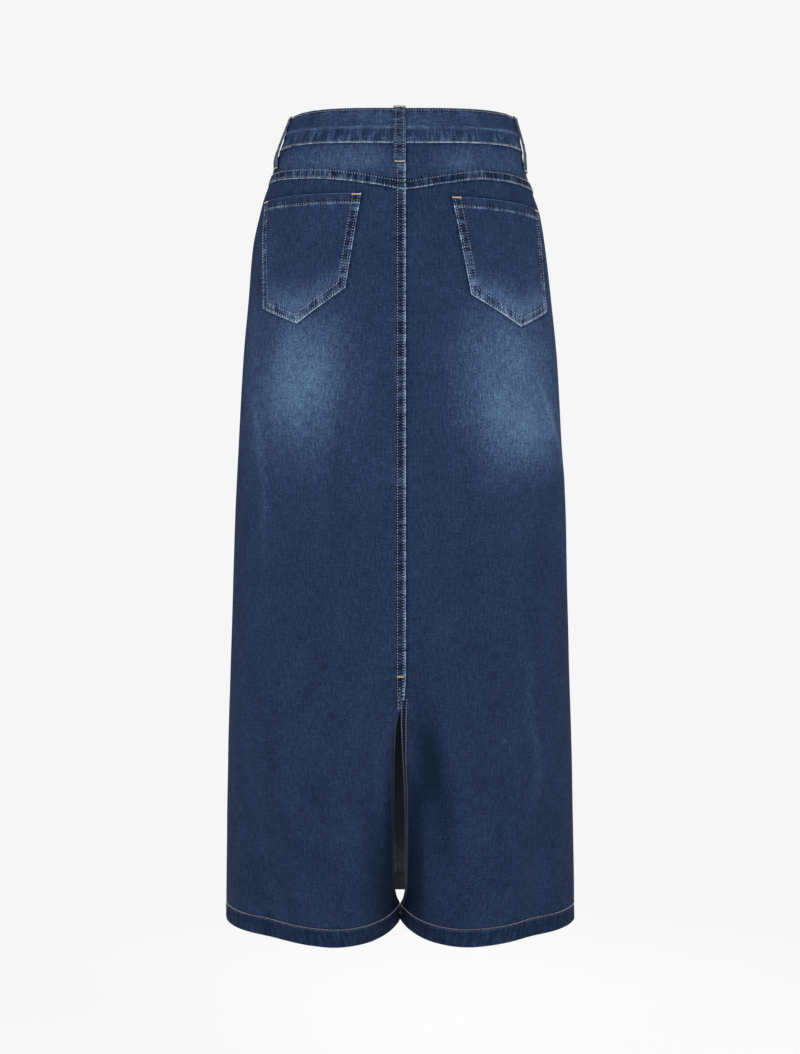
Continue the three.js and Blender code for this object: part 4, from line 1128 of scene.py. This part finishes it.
def worn_denim():
    """Twill with uneven yarns that pales where it is washed, rubbed or gathered by a seam, and darkens where
    shade is painted and along the stitch rows.
    """
    floats = "NodeSocketFloat"
    group, given, result = new_group(
        "Worn denim",
        [("Cloth", "NodeSocketVector", None), ("Wash And Shade", floats, 0.0), ("Rub", floats, 0.0),
         ("Seam Across", floats, 0.0), ("Seam Down", floats, 0.0), ("Painted Shade And Dark Rows", floats, 0.0),
         ("Deep", "NodeSocketColor", (0.01, 0.02, 0.05, 1)),
         ("Middle", "NodeSocketColor", (0.03, 0.05, 0.11, 1)),
         ("Worn", "NodeSocketColor", (0.1, 0.18, 0.3, 1)), ("Bare", "NodeSocketColor", (0.3, 0.42, 0.5, 1))],
        [("Color", "NodeSocketColor"), ("Roughness", floats), ("Height", floats)])
    place = given.outputs["Cloth"]
    wash_and_shade, rub = given.outputs["Wash And Shade"], given.outputs["Rub"]
    across, down = given.outputs["Seam Across"], given.outputs["Seam Down"]
    def noise(across_scale, along_scale, detail=2.0, roughness=0.55):
        noise = cloth_noise(group, place, across_scale, along_scale, detail, roughness)
        return calc(group, "SUBTRACT", noise, 0.5)

    def added(*terms):
        total = terms[0]
        for term in terms[1:]:
            total = calc(group, "ADD", total, term)
        return total

    def times(first, second):
        return calc(group, "MULTIPLY", first, second)

    def bars(across_scale, along_scale):
        return spread(group, cloth_noise(group, place, across_scale, along_scale, 1.0), 0.38, 0.62, -0.5, 0.5)

    def soft(colour):
        return put(group, "ShaderNodeGamma", {"Color": colour, "Gamma": 0.45}).outputs[0]

    grain = noise(720, 430, 2.0, 0.65)
    slub = noise(420, 95)
    weft = noise(60, 460, 1.0)
    blotch = noise(34, 20, 3.0)
    gathers = added(times(bars(128, 30), 0.55), times(bars(330, 60), 0.5))
    ladders = added(times(bars(30, 128), 0.55), times(bars(60, 330), 0.5))
    pucker = added(times(gathers, across), times(ladders, down))
    parts = put(group, "ShaderNodeSeparateXYZ", {0: place})
    slant = added(parts.outputs[0], times(parts.outputs[1], 0.55))
    twill = calc(group, "SINE", times(slant, 2 * math.pi / TWILL_PITCH))

    depth = added(times(wash_and_shade, 0.24), 0.50)
    tone = added(times(wash_and_shade, 0.62), 0.215, times(grain, depth), times(slub, times(depth, 0.60)),
                 times(weft, 0.12), times(blotch, 0.14), times(twill, 0.018), times(pucker, 0.50))
    rubbed = times(rub, added(times(grain, 0.9), 0.60))
    # Painted shade and the darker stitch rows are taken off the tone here.
    tone = calc(group, "SUBTRACT", added(tone, rubbed), times(given.outputs["Painted Shade And Dark Rows"], 0.30))
    deep, middle, worn, bare = (soft(given.outputs[name]) for name in ("Deep", "Middle", "Worn", "Bare"))
    colour = blend_colours(group, spread(group, tone, 0.0, 0.34, kind="LINEAR"), deep, middle)
    colour = blend_colours(group, spread(group, tone, 0.34, 0.72, kind="LINEAR"), colour, worn)
    colour = blend_colours(group, spread(group, tone, 0.72, 1.15, kind="LINEAR"), colour, bare)
    colour = put(group, "ShaderNodeGamma", {"Color": colour, "Gamma": 1 / 0.45}).outputs[0]
    height = added(times(grain, 0.00018), times(twill, 0.00002), times(slub, 0.00014), times(pucker, 0.0009))
    rough = calc(group, "ADD", times(grain, 0.12), 0.88, clamp=True)
    group.links.new(colour, result.inputs["Color"])
    group.links.new(rough, result.inputs["Roughness"])
    group.links.new(height, result.inputs["Height"])
    return group


def denim(name, colours, bump=1.0):
    """A denim finish from four colours, deepest first."""
    found = bpy.data.materials.get(name)
    if found:
        return found
    group = bpy.data.node_groups.get("Worn denim") or worn_denim()
    look = bpy.data.materials.new(name)
    look.use_nodes = True
    tree = look.node_tree
    shader = tree.nodes["Principled BSDF"]
    weave = put(tree, "ShaderNodeGroup", node_tree=group)
    chart = put(tree, "ShaderNodeUVMap", uv_map="cloth")
    tree.links.new(chart.outputs[0], weave.inputs["Cloth"])
    for socket, mask in (("Wash And Shade", "wash_and_shade"), ("Rub", "rub"), ("Seam Across", "seam_across"),
                         ("Seam Down", "seam_down"), ("Painted Shade And Dark Rows", "painted_shade_and_dark_rows")):
        reader = put(tree, "ShaderNodeAttribute", attribute_name=mask)
        tree.links.new(reader.outputs["Fac"], weave.inputs[socket])
    for socket, colour in zip(("Deep", "Middle", "Worn", "Bare"), colours):
        weave.inputs[socket].default_value = (*colour, 1)
    relief = put(tree, "ShaderNodeBump",
                 {"Height": weave.outputs["Height"], "Strength": bump, "Distance": 1.0})
    tree.links.new(weave.outputs["Color"], shader.inputs["Base Color"])
    tree.links.new(weave.outputs["Roughness"], shader.inputs["Roughness"])
    tree.links.new(relief.outputs[0], shader.inputs["Normal"])
    shader.inputs["Specular IOR Level"].default_value = 0.06
    return look


def thread_finish(name, colour):
    found = bpy.data.materials.get(name)
    if found:
        return found
    look = bpy.data.materials.new(name)
    look.use_nodes = True
    tree = look.node_tree
    shader = tree.nodes["Principled BSDF"]
    tone = put(tree, "ShaderNodeAttribute", attribute_name="tone")
    place = put(tree, "ShaderNodeTexCoord")
    fibres = put(tree, "ShaderNodeTexNoise",
                 {"Vector": place.outputs["Object"], "Scale": 2600.0, "Detail": 1.0})
    mixed = calc(tree, "ADD", calc(tree, "MULTIPLY", tone.outputs["Fac"], 0.7),
                 calc(tree, "MULTIPLY", fibres.outputs["Fac"], 0.4), clamp=True)
    darker = tuple(c * 0.60 for c in colour)
    shade = blend_colours(tree, mixed, (*darker, 1), (*colour, 1))
    tree.links.new(shade, shader.inputs["Base Color"])
    relief = put(tree, "ShaderNodeBump",
                 {"Height": fibres.outputs["Fac"], "Strength": 0.5, "Distance": 0.0002})
    tree.links.new(relief.outputs[0], shader.inputs["Normal"])
    shader.inputs["Roughness"].default_value = 0.7
    return look


def brass_finish(name, colour):
    found = bpy.data.materials.get(name)
    if found:
        return found
    look = bpy.data.materials.new(name)
    look.use_nodes = True
    tree = look.node_tree
    shader = tree.nodes["Principled BSDF"]
    place = put(tree, "ShaderNodeTexCoord")
    clouds = put(tree, "ShaderNodeTexNoise",
                 {"Vector": place.outputs["Object"], "Scale": 340.0, "Detail": 4.0})
    scratches = put(tree, "ShaderNodeTexNoise",
                    {"Vector": place.outputs["Object"], "Scale": 1900.0, "Detail": 2.0})
    dull = tuple(c * 0.45 for c in colour)
    shade = blend_colours(tree, spread(tree, clouds.outputs["Fac"], 0.35, 0.65), (*dull, 1), (*colour, 1))
    tree.links.new(shade, shader.inputs["Base Color"])
    tree.links.new(spread(tree, clouds.outputs["Fac"], 0.3, 0.7, 0.48, 0.30), shader.inputs["Roughness"])
    relief = put(tree, "ShaderNodeBump",
                 {"Height": scratches.outputs["Fac"], "Strength": 0.2, "Distance": 0.0002})
    tree.links.new(relief.outputs[0], shader.inputs["Normal"])
    shader.inputs["Metallic"].default_value = 0.95
    return look


def tape_finish(name, colour):
    found = bpy.data.materials.get(name)
    if found:
        return found
    look = bpy.data.materials.new(name)
    look.use_nodes = True
    tree = look.node_tree
    shader = tree.nodes["Principled BSDF"]
    chart = put(tree, "ShaderNodeUVMap", uv_map="cloth")
    parts = put(tree, "ShaderNodeSeparateXYZ", {0: chart.outputs[0]})
    across = calc(tree, "PINGPONG", parts.outputs[0], 0.0012)
    slanted = calc(tree, "ADD", parts.outputs[1], across)
    ribs = calc(tree, "SINE", calc(tree, "MULTIPLY", slanted, 2 * math.pi / TAPE_RIB_PITCH))
    noise = cloth_noise(tree, chart.outputs[0], 900, 500)
    mixed = calc(tree, "ADD", calc(tree, "MULTIPLY", ribs, 0.25), noise, clamp=True)
    shade = blend_colours(tree, mixed, (*(c * 0.6 for c in colour), 1),
                          (*(min(1, c * 1.5) for c in colour), 1))
    tree.links.new(shade, shader.inputs["Base Color"])
    relief = put(tree, "ShaderNodeBump", {"Height": ribs, "Strength": 0.4, "Distance": 0.0002})
    tree.links.new(relief.outputs[0], shader.inputs["Normal"])
    shader.inputs["Roughness"].default_value = 0.85
    return look


def floor_finish(name, colour, glow):
    """A pale floor that turns into the even backdrop a few metres away."""
    look = bpy.data.materials.new(name)
    look.use_nodes = True
    tree = look.node_tree
    shader = tree.nodes["Principled BSDF"]
    place = put(tree, "ShaderNodeTexCoord")
    noise = put(tree, "ShaderNodeTexNoise", {"Vector": place.outputs["Object"], "Scale": 6.0, "Detail": 3.0})
    shade = blend_colours(tree, noise.outputs["Fac"], (*(c * 0.99 for c in colour), 1), (*colour, 1))
    tree.links.new(shade, shader.inputs["Base Color"])
    shader.inputs["Roughness"].default_value = 0.9
    shader.inputs["Specular IOR Level"].default_value = 0.05
    shader.inputs["Emission Color"].default_value = (1, 1, 1, 1)
    shader.inputs["Emission Strength"].default_value = 0.34
    backdrop = put(tree, "ShaderNodeEmission", {"Color": (1, 1, 1, 1), "Strength": glow})
    parts = put(tree, "ShaderNodeVectorMath", {0: place.outputs["Object"], 1: (1, 1, 0)},
                operation="MULTIPLY")
    away = put(tree, "ShaderNodeVectorMath", {0: parts.outputs[0]}, operation="LENGTH")
    share = spread(tree, away.outputs["Value"], 0.3, 1.8)
    mixed = put(tree, "ShaderNodeMixShader", {0: share, 1: shader.outputs[0], 2: backdrop.outputs[0]})
    tree.links.new(mixed.outputs[0], tree.nodes["Material Output"].inputs["Surface"])
    return look


class SkirtCloth(bpy.types.PropertyGroup):
    thickness: FloatProperty(name="Cloth thickness", description="Thickness of one layer of denim",
                             default=0.0011, min=0.0005, max=0.002, unit="LENGTH")
    stitch_pitch: FloatProperty(name="Stitch length", description="Distance from one stitch to the next",
                                default=0.0031, min=0.002, max=0.006, unit="LENGTH")
    thread_radius: FloatProperty(name="Thread radius", description="Radius of the topstitching thread",
                                 default=0.00050, min=0.0002, max=0.0008, unit="LENGTH")
    relief: FloatProperty(name="Weave relief", description="How strongly the yarns and puckers stand out",
                          default=1.0, min=0.0, max=2.0, subtype="FACTOR")


def colour_field(name, description, default):
    return FloatVectorProperty(name=name, description=description, default=default, min=0, max=1,
                               subtype="COLOR")


class SkirtColours(bpy.types.PropertyGroup):
    deep: colour_field("Deep indigo", "Denim in the folds of a seam", (0.0055, 0.0125, 0.0330))
    middle: colour_field("Indigo", "Denim as it is for most of the skirt", (0.0235, 0.0420, 0.0960))
    worn: colour_field("Worn blue", "Denim where it has been washed pale", (0.1000, 0.1760, 0.3000))
    bare: colour_field("Bare edge", "Denim on a rubbed edge", (0.330, 0.430, 0.500))
    inside: colour_field("Inside", "The paler wrong side of the denim", (0.0560, 0.0780, 0.0950))
    thread: colour_field("Thread", "Topstitching that has washed pale", (0.660, 0.630, 0.600))
    tan: colour_field("Tan thread", "Topstitching that has kept its colour", (0.570, 0.460, 0.330))
    bar: colour_field("Bar tack", "Dense stitches that hold an edge", (0.760, 0.540, 0.360))
    dim: colour_field("Dim thread", "Stitches beside the slit that match the denim", (0.140, 0.145, 0.220))
    brass: colour_field("Brass", "Button, slider and teeth", (0.420, 0.280, 0.130))
    tape: colour_field("Zip tape", "Woven tape of the zip", (0.016, 0.022, 0.040))
    floor: colour_field("Floor", "Pale floor and backdrop", (0.860, 0.860, 0.860))


class SkirtStage(bpy.types.PropertyGroup):
    floor_depth: FloatProperty(name="Floor depth", description="How far the floor lies below the waist",
                               default=1.30, min=1.0, max=3.0, unit="LENGTH")
    distance: FloatProperty(name="Camera distance", description="From the middle of the skirt to the camera",
                            default=2.0, min=0.5, max=10.0, unit="LENGTH")
    eye_depth: FloatProperty(name="Eye depth", description="How far the camera is below the waist",
                             default=0.48, min=0.0, max=2.0, unit="LENGTH")
    light: FloatProperty(name="Light", description="Brightness of the soft lights", default=1.0, min=0.0,
                         max=5.0)


def blues(colours, lighter=0.0):
    def toward(a, b):
        return tuple(x + (y - x) * lighter for x, y in zip(a, b))
    return (tuple(colours.deep), toward(colours.middle, colours.worn), tuple(colours.worn),
            tuple(colours.bare))


def denim_looks(scene, name="worn denim", lighter=0.0):
    colours, relief = scene.skirt_colours, scene.skirt_cloth.relief
    inside = tuple(colours.inside)
    wrong_side = (tuple(c * 0.45 for c in inside), inside, tuple(c * 1.7 for c in inside),
                  tuple(min(1, c * 3.0) for c in inside))
    return [denim(name, blues(colours, lighter), relief),
            denim("worn denim inside", wrong_side, relief * 0.7)]


def threads(scene):
    colours = scene.skirt_colours
    return [thread_finish(name, tuple(colour)) for name, colour in (
        ("pale topstitching", colours.thread), ("tan topstitching", colours.tan),
        ("bar tacks", colours.bar), ("dim topstitching", colours.dim))]


def sew_remembered(scene, name):
    cloth = scene.skirt_cloth
    return stitch_up(name, threads(scene), cloth.stitch_pitch, cloth.thread_radius)


def deselect_all():
    for item in bpy.context.selected_objects:
        item.select_set(False)


def seat_on(piece, origin, across, upward, outward):
    """Moves a mesh that was modelled at the origin to its seat, with its place in the mesh."""
    turn = Matrix((across, upward, outward)).transposed().to_4x4()
    piece.data.transform(Matrix.Translation(origin) @ turn)
    piece.data.update()
    return piece


def make_button(look):
    cloth = CLOTH[FRONT, LEFT]
    down = DIP[FRONT] + WAISTBAND_HEIGHT / 2
    out = Vector(cloth.normal(np.array([15.0]), np.array([down]))[0])
    seat = Vector(cloth.point(np.array([15.0]), np.array([down]), 1.1)[0])
    profile = ((0, 0), (3.8, 0), (4.0, 0.3), (4.0, 1.0), (7.6, 1.0), (8.2, 1.2), (8.5, 1.7),
               (8.4, 2.3), (7.9, 2.75), (7.3, 2.8), (7.0, 2.55), (6.6, 2.5), (6.2, 2.75), (5.2, 3.3),
               (3.6, 3.85), (1.8, 4.12), (0, 4.2))
    deselect_all()
    bpy.ops.mesh.primitive_plane_add(size=0.001)
    piece = bpy.context.object
    piece.name = piece.data.name = "waist_button_brass"
    mesh = bmesh.new()
    line = [mesh.verts.new((r / 1000, 0, h / 1000)) for r, h in profile]
    for a, b in zip(line, line[1:]):
        mesh.edges.new((a, b))
    mesh.to_mesh(piece.data)
    mesh.free()
    bpy.ops.object.mode_set(mode="EDIT")
    bpy.ops.mesh.select_all(action="SELECT")
    bpy.ops.mesh.spin(steps=48, angle=2 * math.pi, center=(0, 0, 0), axis=(0, 0, 1))
    bpy.ops.mesh.select_all(action="SELECT")
    bpy.ops.mesh.remove_doubles(threshold=1e-6)
    bpy.ops.mesh.normals_make_consistent(inside=False)
    bpy.ops.object.mode_set(mode="OBJECT")
    bpy.ops.object.shade_smooth_by_angle(angle=math.radians(50))
    piece.data.materials.clear()
    piece.data.materials.append(look)
    across = Vector((0, 0, 1)).cross(out).normalized()
    seat_on(piece, seat, across, out.cross(across), out)
    finish_piece(piece, "brass", "waist_button")
    oval = np.linspace(0, 2 * math.pi, 160)
    spot = 12.5 - 8.5 * np.cos(oval)
    sew(cloth, spot, down + 2.6 * np.sin(oval), 1.05, "bar")
    return piece


def make_zip(tape_look, brass_look):
    across = np.linspace(-1, 1, 37)
    down = np.arange(62, 205.5, 1.6)
    dip = eased((0.66 - np.abs(across)) / 0.36)
    share, depth = np.meshgrid(across, down)
    heights = -1.75 - 2.6 * dip[None, :] + 0 * depth
    outer, inner = np.zeros(share.shape + (3,)), np.zeros(share.shape + (3,))
    for side in (LEFT, RIGHT):
        cloth = CLOTH[FRONT, side]
        part = (across >= 0) if side == LEFT else (across < 0)
        along = np.abs(share[:, part]) * 15
        outer[:, part] = cloth.point(along, depth[:, part], heights[:, part] + 0.3)
        inner[:, part] = cloth.point(along, depth[:, part], heights[:, part] - 0.3)
    nothing = 0 * share
    masks = {"wash_and_shade": nothing}
    tape = make_shell("zip_tape", outer, inner, (share * 0.015, -depth / 1000), masks, [tape_look])
    finish_piece(tape, "zip_tape", "zip")

    deselect_all()
    bpy.ops.mesh.primitive_cube_add(size=1)
    tooth = bpy.context.object
    tooth.data.transform(Matrix.Translation((0.00145, 0, 0.00065))
                         @ Matrix.Diagonal((0.0029, 0.0010, 0.0013, 1)))
    bpy.ops.object.mode_set(mode="EDIT")
    mesh = bmesh.from_edit_mesh(tooth.data)
    for face in mesh.faces:
        face.select = face.normal.x > 0.9
    bmesh.update_edit_mesh(tooth.data)
    bpy.ops.transform.resize(value=(1, 0.55, 0.8))
    bpy.ops.mesh.select_all(action="SELECT")
    bpy.ops.mesh.bevel(offset=0.00016, segments=1)
    bpy.ops.object.mode_set(mode="OBJECT")
    row = bmesh.new()
    for spot in np.arange(67, 202, 1.5):
        for side in (LEFT, RIGHT):
            cloth = CLOTH[FRONT, side]
            at = spot + (0.75 if side == LEFT else 0)
            origin = Vector(cloth.point(np.array([2.2]), np.array([at]), -4.1)[0])
            out = Vector(cloth.normal(np.array([2.2]), np.array([at]))[0])
            inward = (Vector(cloth.point(np.array([0.2]), np.array([at]), -4.1)[0]) - origin).normalized()
            copy = tooth.data.copy()
            copy.transform(Matrix.Translation(origin)
                           @ Matrix((inward, out.cross(inward), out)).transposed().to_4x4())
            row.from_mesh(copy)
            bpy.data.meshes.remove(copy)
    teeth = tooth
    teeth.name = teeth.data.name = "zip_teeth"
    row.to_mesh(teeth.data)
    row.free()
    teeth.data.materials.clear()
    teeth.data.materials.append(brass_look)
    finish_piece(teeth, "brass")
    return tape


def make_slider(look):
    cloth = CLOTH[FRONT, LEFT]
    upper = Vector(cloth.point(np.array([0.0]), np.array([66.0]), -4.2)[0])
    lower = Vector(cloth.point(np.array([0.0]), np.array([98.0]), -4.2)[0])
    upward = (upper - lower).normalized()
    out = Vector(cloth.normal(np.array([0.0]), np.array([80.0]))[0])
    out = (out - upward * out.dot(upward)).normalized()
    across = upward.cross(out).normalized()
    deselect_all()
    bpy.ops.mesh.primitive_cube_add(size=1)
    body = bpy.context.object
    body.data.transform(Matrix.Translation((0, -0.006, 0.0011))
                        @ Matrix.Diagonal((0.0078, 0.0118, 0.0022, 1)))
    bpy.ops.object.mode_set(mode="EDIT")
    mesh = bmesh.from_edit_mesh(body.data)
    for face in mesh.faces:
        face.select = face.normal.y < -0.9
    bmesh.update_edit_mesh(body.data)
    bpy.ops.transform.resize(value=(0.62, 1, 1))
    bpy.ops.mesh.select_all(action="SELECT")
    bpy.ops.mesh.bevel(offset=0.0006, segments=3)
    bpy.ops.object.mode_set(mode="OBJECT")
    deselect_all()
    bpy.ops.mesh.primitive_cylinder_add(vertices=32, radius=0.00225, depth=0.0009,
                                        location=(0, -0.0297, 0.0009))
    tab = bpy.context.object
    bpy.ops.object.transform_apply(location=True, rotation=True, scale=True)
    for vertex in tab.data.vertices:
        if vertex.co.y > -0.0297:
            vertex.co.y += 0.0175
    bpy.ops.object.mode_set(mode="EDIT")
    mesh = bmesh.from_edit_mesh(tab.data)
    for face in mesh.faces:
        face.select = abs(face.normal.z) > 0.9
    bmesh.update_edit_mesh(tab.data)
    bpy.ops.mesh.inset(thickness=0.0007)
    bpy.ops.transform.resize(value=(1, 1, 0.7))
    bpy.ops.mesh.select_all(action="SELECT")
    bpy.ops.mesh.normals_make_consistent(inside=False)
    bpy.ops.object.mode_set(mode="OBJECT")
    deselect_all()
    bpy.ops.mesh.primitive_torus_add(major_radius=0.0016, minor_radius=0.00045, major_segments=20,
                                     minor_segments=8, location=(0, -0.0118, 0.0016),
                                     rotation=(0, math.pi / 2, 0))
    ring = bpy.context.object
    bpy.ops.object.transform_apply(location=True, rotation=True, scale=True)
    deselect_all()
    for item in (body, tab, ring):
        item.select_set(True)
    bpy.context.view_layer.objects.active = body
    bpy.ops.object.join()
    piece = bpy.context.object
    piece.name = piece.data.name = "zip_slider_brass"
    piece.data.materials.clear()
    piece.data.materials.append(look)
    bpy.ops.object.shade_smooth_by_angle(angle=math.radians(40))
    seat_on(piece, upper, across, upward, out)
    finish_piece(piece, "brass", "zip_slider")
    return piece


class SKIRT_OT_back_panels(bpy.types.Operator):
    """Cut the two back panels, with the felled centre seam, the slit and the hem"""
    bl_idname = "skirt.back_panels"
    bl_label = "Back panels"

    def execute(self, context):
        looks = denim_looks(context.scene)
        for side in (LEFT, RIGHT):
            make_back_panel(side, looks, context.scene.skirt_cloth.thickness * 1000)
        t = np.linspace(2.6, 9.6, 30)
        sew(CLOTH[BACK, LEFT], t, 646 + 0 * t, 1.35, "bar")
        sew_remembered(context.scene, "stitching_back_panels")
        return {"FINISHED"}


class SKIRT_OT_back_yoke(bpy.types.Operator):
    """Cut the two halves of the back yoke and lap them over the panels"""
    bl_idname = "skirt.back_yoke"
    bl_label = "Back yoke"

    def execute(self, context):
        looks = denim_looks(context.scene)
        for side in (LEFT, RIGHT):
            make_back_yoke(side, looks, context.scene.skirt_cloth.thickness * 1000)
        sew_remembered(context.scene, "stitching_back_yoke")
        return {"FINISHED"}


class SKIRT_OT_front_panels(bpy.types.Operator):
    """Cut the two front panels, with the fly and the centre seam"""
    bl_idname = "skirt.front_panels"
    bl_label = "Front panels"

    def execute(self, context):
        looks = denim_looks(context.scene)
        for side in (LEFT, RIGHT):
            make_front_panel(side, looks, context.scene.skirt_cloth.thickness * 1000)
        t = np.linspace(0.8, 9.0, 30)
        sew(CLOTH[FRONT, LEFT], t, 213 + 0 * t, 1.3, "bar")
        sew_remembered(context.scene, "stitching_front_panels")
        return {"FINISHED"}


class SKIRT_OT_waistband(bpy.types.Operator):
    """Fold the waistband and close it at the front"""
    bl_idname = "skirt.waistband"
    bl_label = "Waistband"

    def execute(self, context):
        make_waistband(denim_looks(context.scene))
        sew_remembered(context.scene, "stitching_waistband")
        return {"FINISHED"}


class SKIRT_OT_back_pockets(bpy.types.Operator):
    """Cut the two five-sided back pockets and sew them on"""
    bl_idname = "skirt.back_pockets"
    bl_label = "Back pockets"

    def execute(self, context):
        looks = denim_looks(context.scene)
        for side in (LEFT, RIGHT):
            make_pocket(side, looks, context.scene.skirt_cloth.thickness * 1000)
        sew_remembered(context.scene, "stitching_back_pockets")
        return {"FINISHED"}


class SKIRT_OT_belt_loops(bpy.types.Operator):
    """Fold the five belt loops and tack their ends"""
    bl_idname = "skirt.belt_loops"
    bl_label = "Belt loops"

    def execute(self, context):
        looks = denim_looks(context.scene, "worn denim strip", 0.12)
        for loop in BELT_LOOPS:
            make_belt_loop(*loop, looks)
        sew_remembered(context.scene, "stitching_belt_loops")
        return {"FINISHED"}


class SKIRT_OT_closure(bpy.types.Operator):
    """Make the zip, its slider and the button of the waistband"""
    bl_idname = "skirt.closure"
    bl_label = "Zip and button"

    def execute(self, context):
        colours = context.scene.skirt_colours
        brass = brass_finish("aged brass", tuple(colours.brass))
        make_zip(tape_finish("woven tape", tuple(colours.tape)), brass)
        make_slider(brass)
        make_button(brass)
        sew_remembered(context.scene, "stitching_buttonhole")
        return {"FINISHED"}


def add_soft_light(name, place, target, size, power):
    light = bpy.data.lights.new(name, "AREA")
    light.shape = "DISK"
    light.size = size
    light.energy = power
    lamp = bpy.data.objects.new(name, light)
    lamp.location = place
    lamp.rotation_euler = (Vector(target) - Vector(place)).to_track_quat("-Z", "Y").to_euler()
    bpy.context.scene.collection.objects.link(lamp)
    return lamp


class SKIRT_OT_stage(bpy.types.Operator):
    """Set the pale floor, the soft lights and the camera behind the skirt"""
    bl_idname = "skirt.stage"
    bl_label = "Floor, lights and camera"

    def execute(self, context):
        scene, stage = context.scene, context.scene.skirt_stage
        deselect_all()
        bpy.ops.mesh.primitive_circle_add(vertices=96, radius=30, fill_type="NGON",
                                          location=(0, 0, -stage.floor_depth))
        floor = context.object
        floor.name = "floor"
        bpy.ops.object.transform_apply(location=True, rotation=True, scale=True)
        floor.data.materials.append(floor_finish("studio floor", tuple(scene.skirt_colours.floor), 0.92))

        scene.view_settings.view_transform = "Standard"
        world = bpy.data.worlds.new("studio")
        scene.world = world
        world.use_nodes = True
        tree = world.node_tree
        background = tree.nodes["Background"]
        background.inputs["Color"].default_value = (1, 1, 1, 1)
        seen = put(tree, "ShaderNodeLightPath")
        strength = spread(tree, seen.outputs["Is Camera Ray"], 0, 1, 0.24 * stage.light, 0.92, "LINEAR")
        tree.links.new(strength, background.inputs["Strength"])
        middle = (0, 0, -0.5)
        for name, place, size, power in (
                ("key_light_left", (1.9, 2.8, 0.3), 1.6, 33), ("key_light_right", (-1.7, 2.8, 0.3), 1.6, 32),
                ("left_light", (3.0, 0.9, 0.2), 1.8, 23), ("right_light", (-3.0, 0.9, 0.2), 1.8, 26),
                ("front_light", (-0.6, -3.4, 0.6), 2.2, 62)):
            add_soft_light(name, place, middle, size, power * stage.light)

        lens = bpy.data.cameras.new("camera")
        lens.sensor_fit = "VERTICAL"
        lens.sensor_height = 36
        lens.lens = 36 * 1675 / 1054
        lens.clip_end = 100
        camera = bpy.data.objects.new("camera", lens)
        camera.location = (0, stage.distance, -stage.eye_depth)
        camera.rotation_euler = (math.pi / 2, 0, math.pi)
        scene.collection.objects.link(camera)
        scene.camera = camera
        return {"FINISHED"}


class SKIRT_PT_pieces(bpy.types.Panel):
    """The pieces of the skirt, in the order in which they are made"""
    bl_label = "Denim skirt"
    bl_idname = "SKIRT_PT_pieces"
    bl_space_type = "VIEW_3D"
    bl_region_type = "UI"
    bl_category = "Skirt"

    def draw(self, context):
        scene = context.scene
        for group in (scene.skirt_cloth, scene.skirt_colours, scene.skirt_stage):
            box = self.layout.box()
            for field in group.bl_rna.properties:
                if field.identifier not in {"rna_type", "name"}:
                    box.prop(group, field.identifier)
        for operator in OPERATORS:
            self.layout.operator(operator.bl_idname)


GROUPS = {"skirt_cloth": SkirtCloth, "skirt_colours": SkirtColours, "skirt_stage": SkirtStage}
OPERATORS = (SKIRT_OT_stage, SKIRT_OT_waistband, SKIRT_OT_back_yoke, SKIRT_OT_back_panels,
             SKIRT_OT_back_pockets,
             SKIRT_OT_front_panels, SKIRT_OT_belt_loops, SKIRT_OT_closure)


def register():
    for item in (*GROUPS.values(), *OPERATORS, SKIRT_PT_pieces):
        bpy.utils.register_class(item)
    for name, group in GROUPS.items():
        setattr(bpy.types.Scene, name, PointerProperty(type=group))


def unregister():
    for name in GROUPS:
        delattr(bpy.types.Scene, name)
    for item in reversed((*GROUPS.values(), *OPERATORS, SKIRT_PT_pieces)):
        bpy.utils.unregister_class(item)


def main():
    register()
    for operator in OPERATORS:
        group, name = operator.bl_idname.split(".")
        getattr(getattr(bpy.ops, group), name)()


if __name__ == "__main__":
    main()
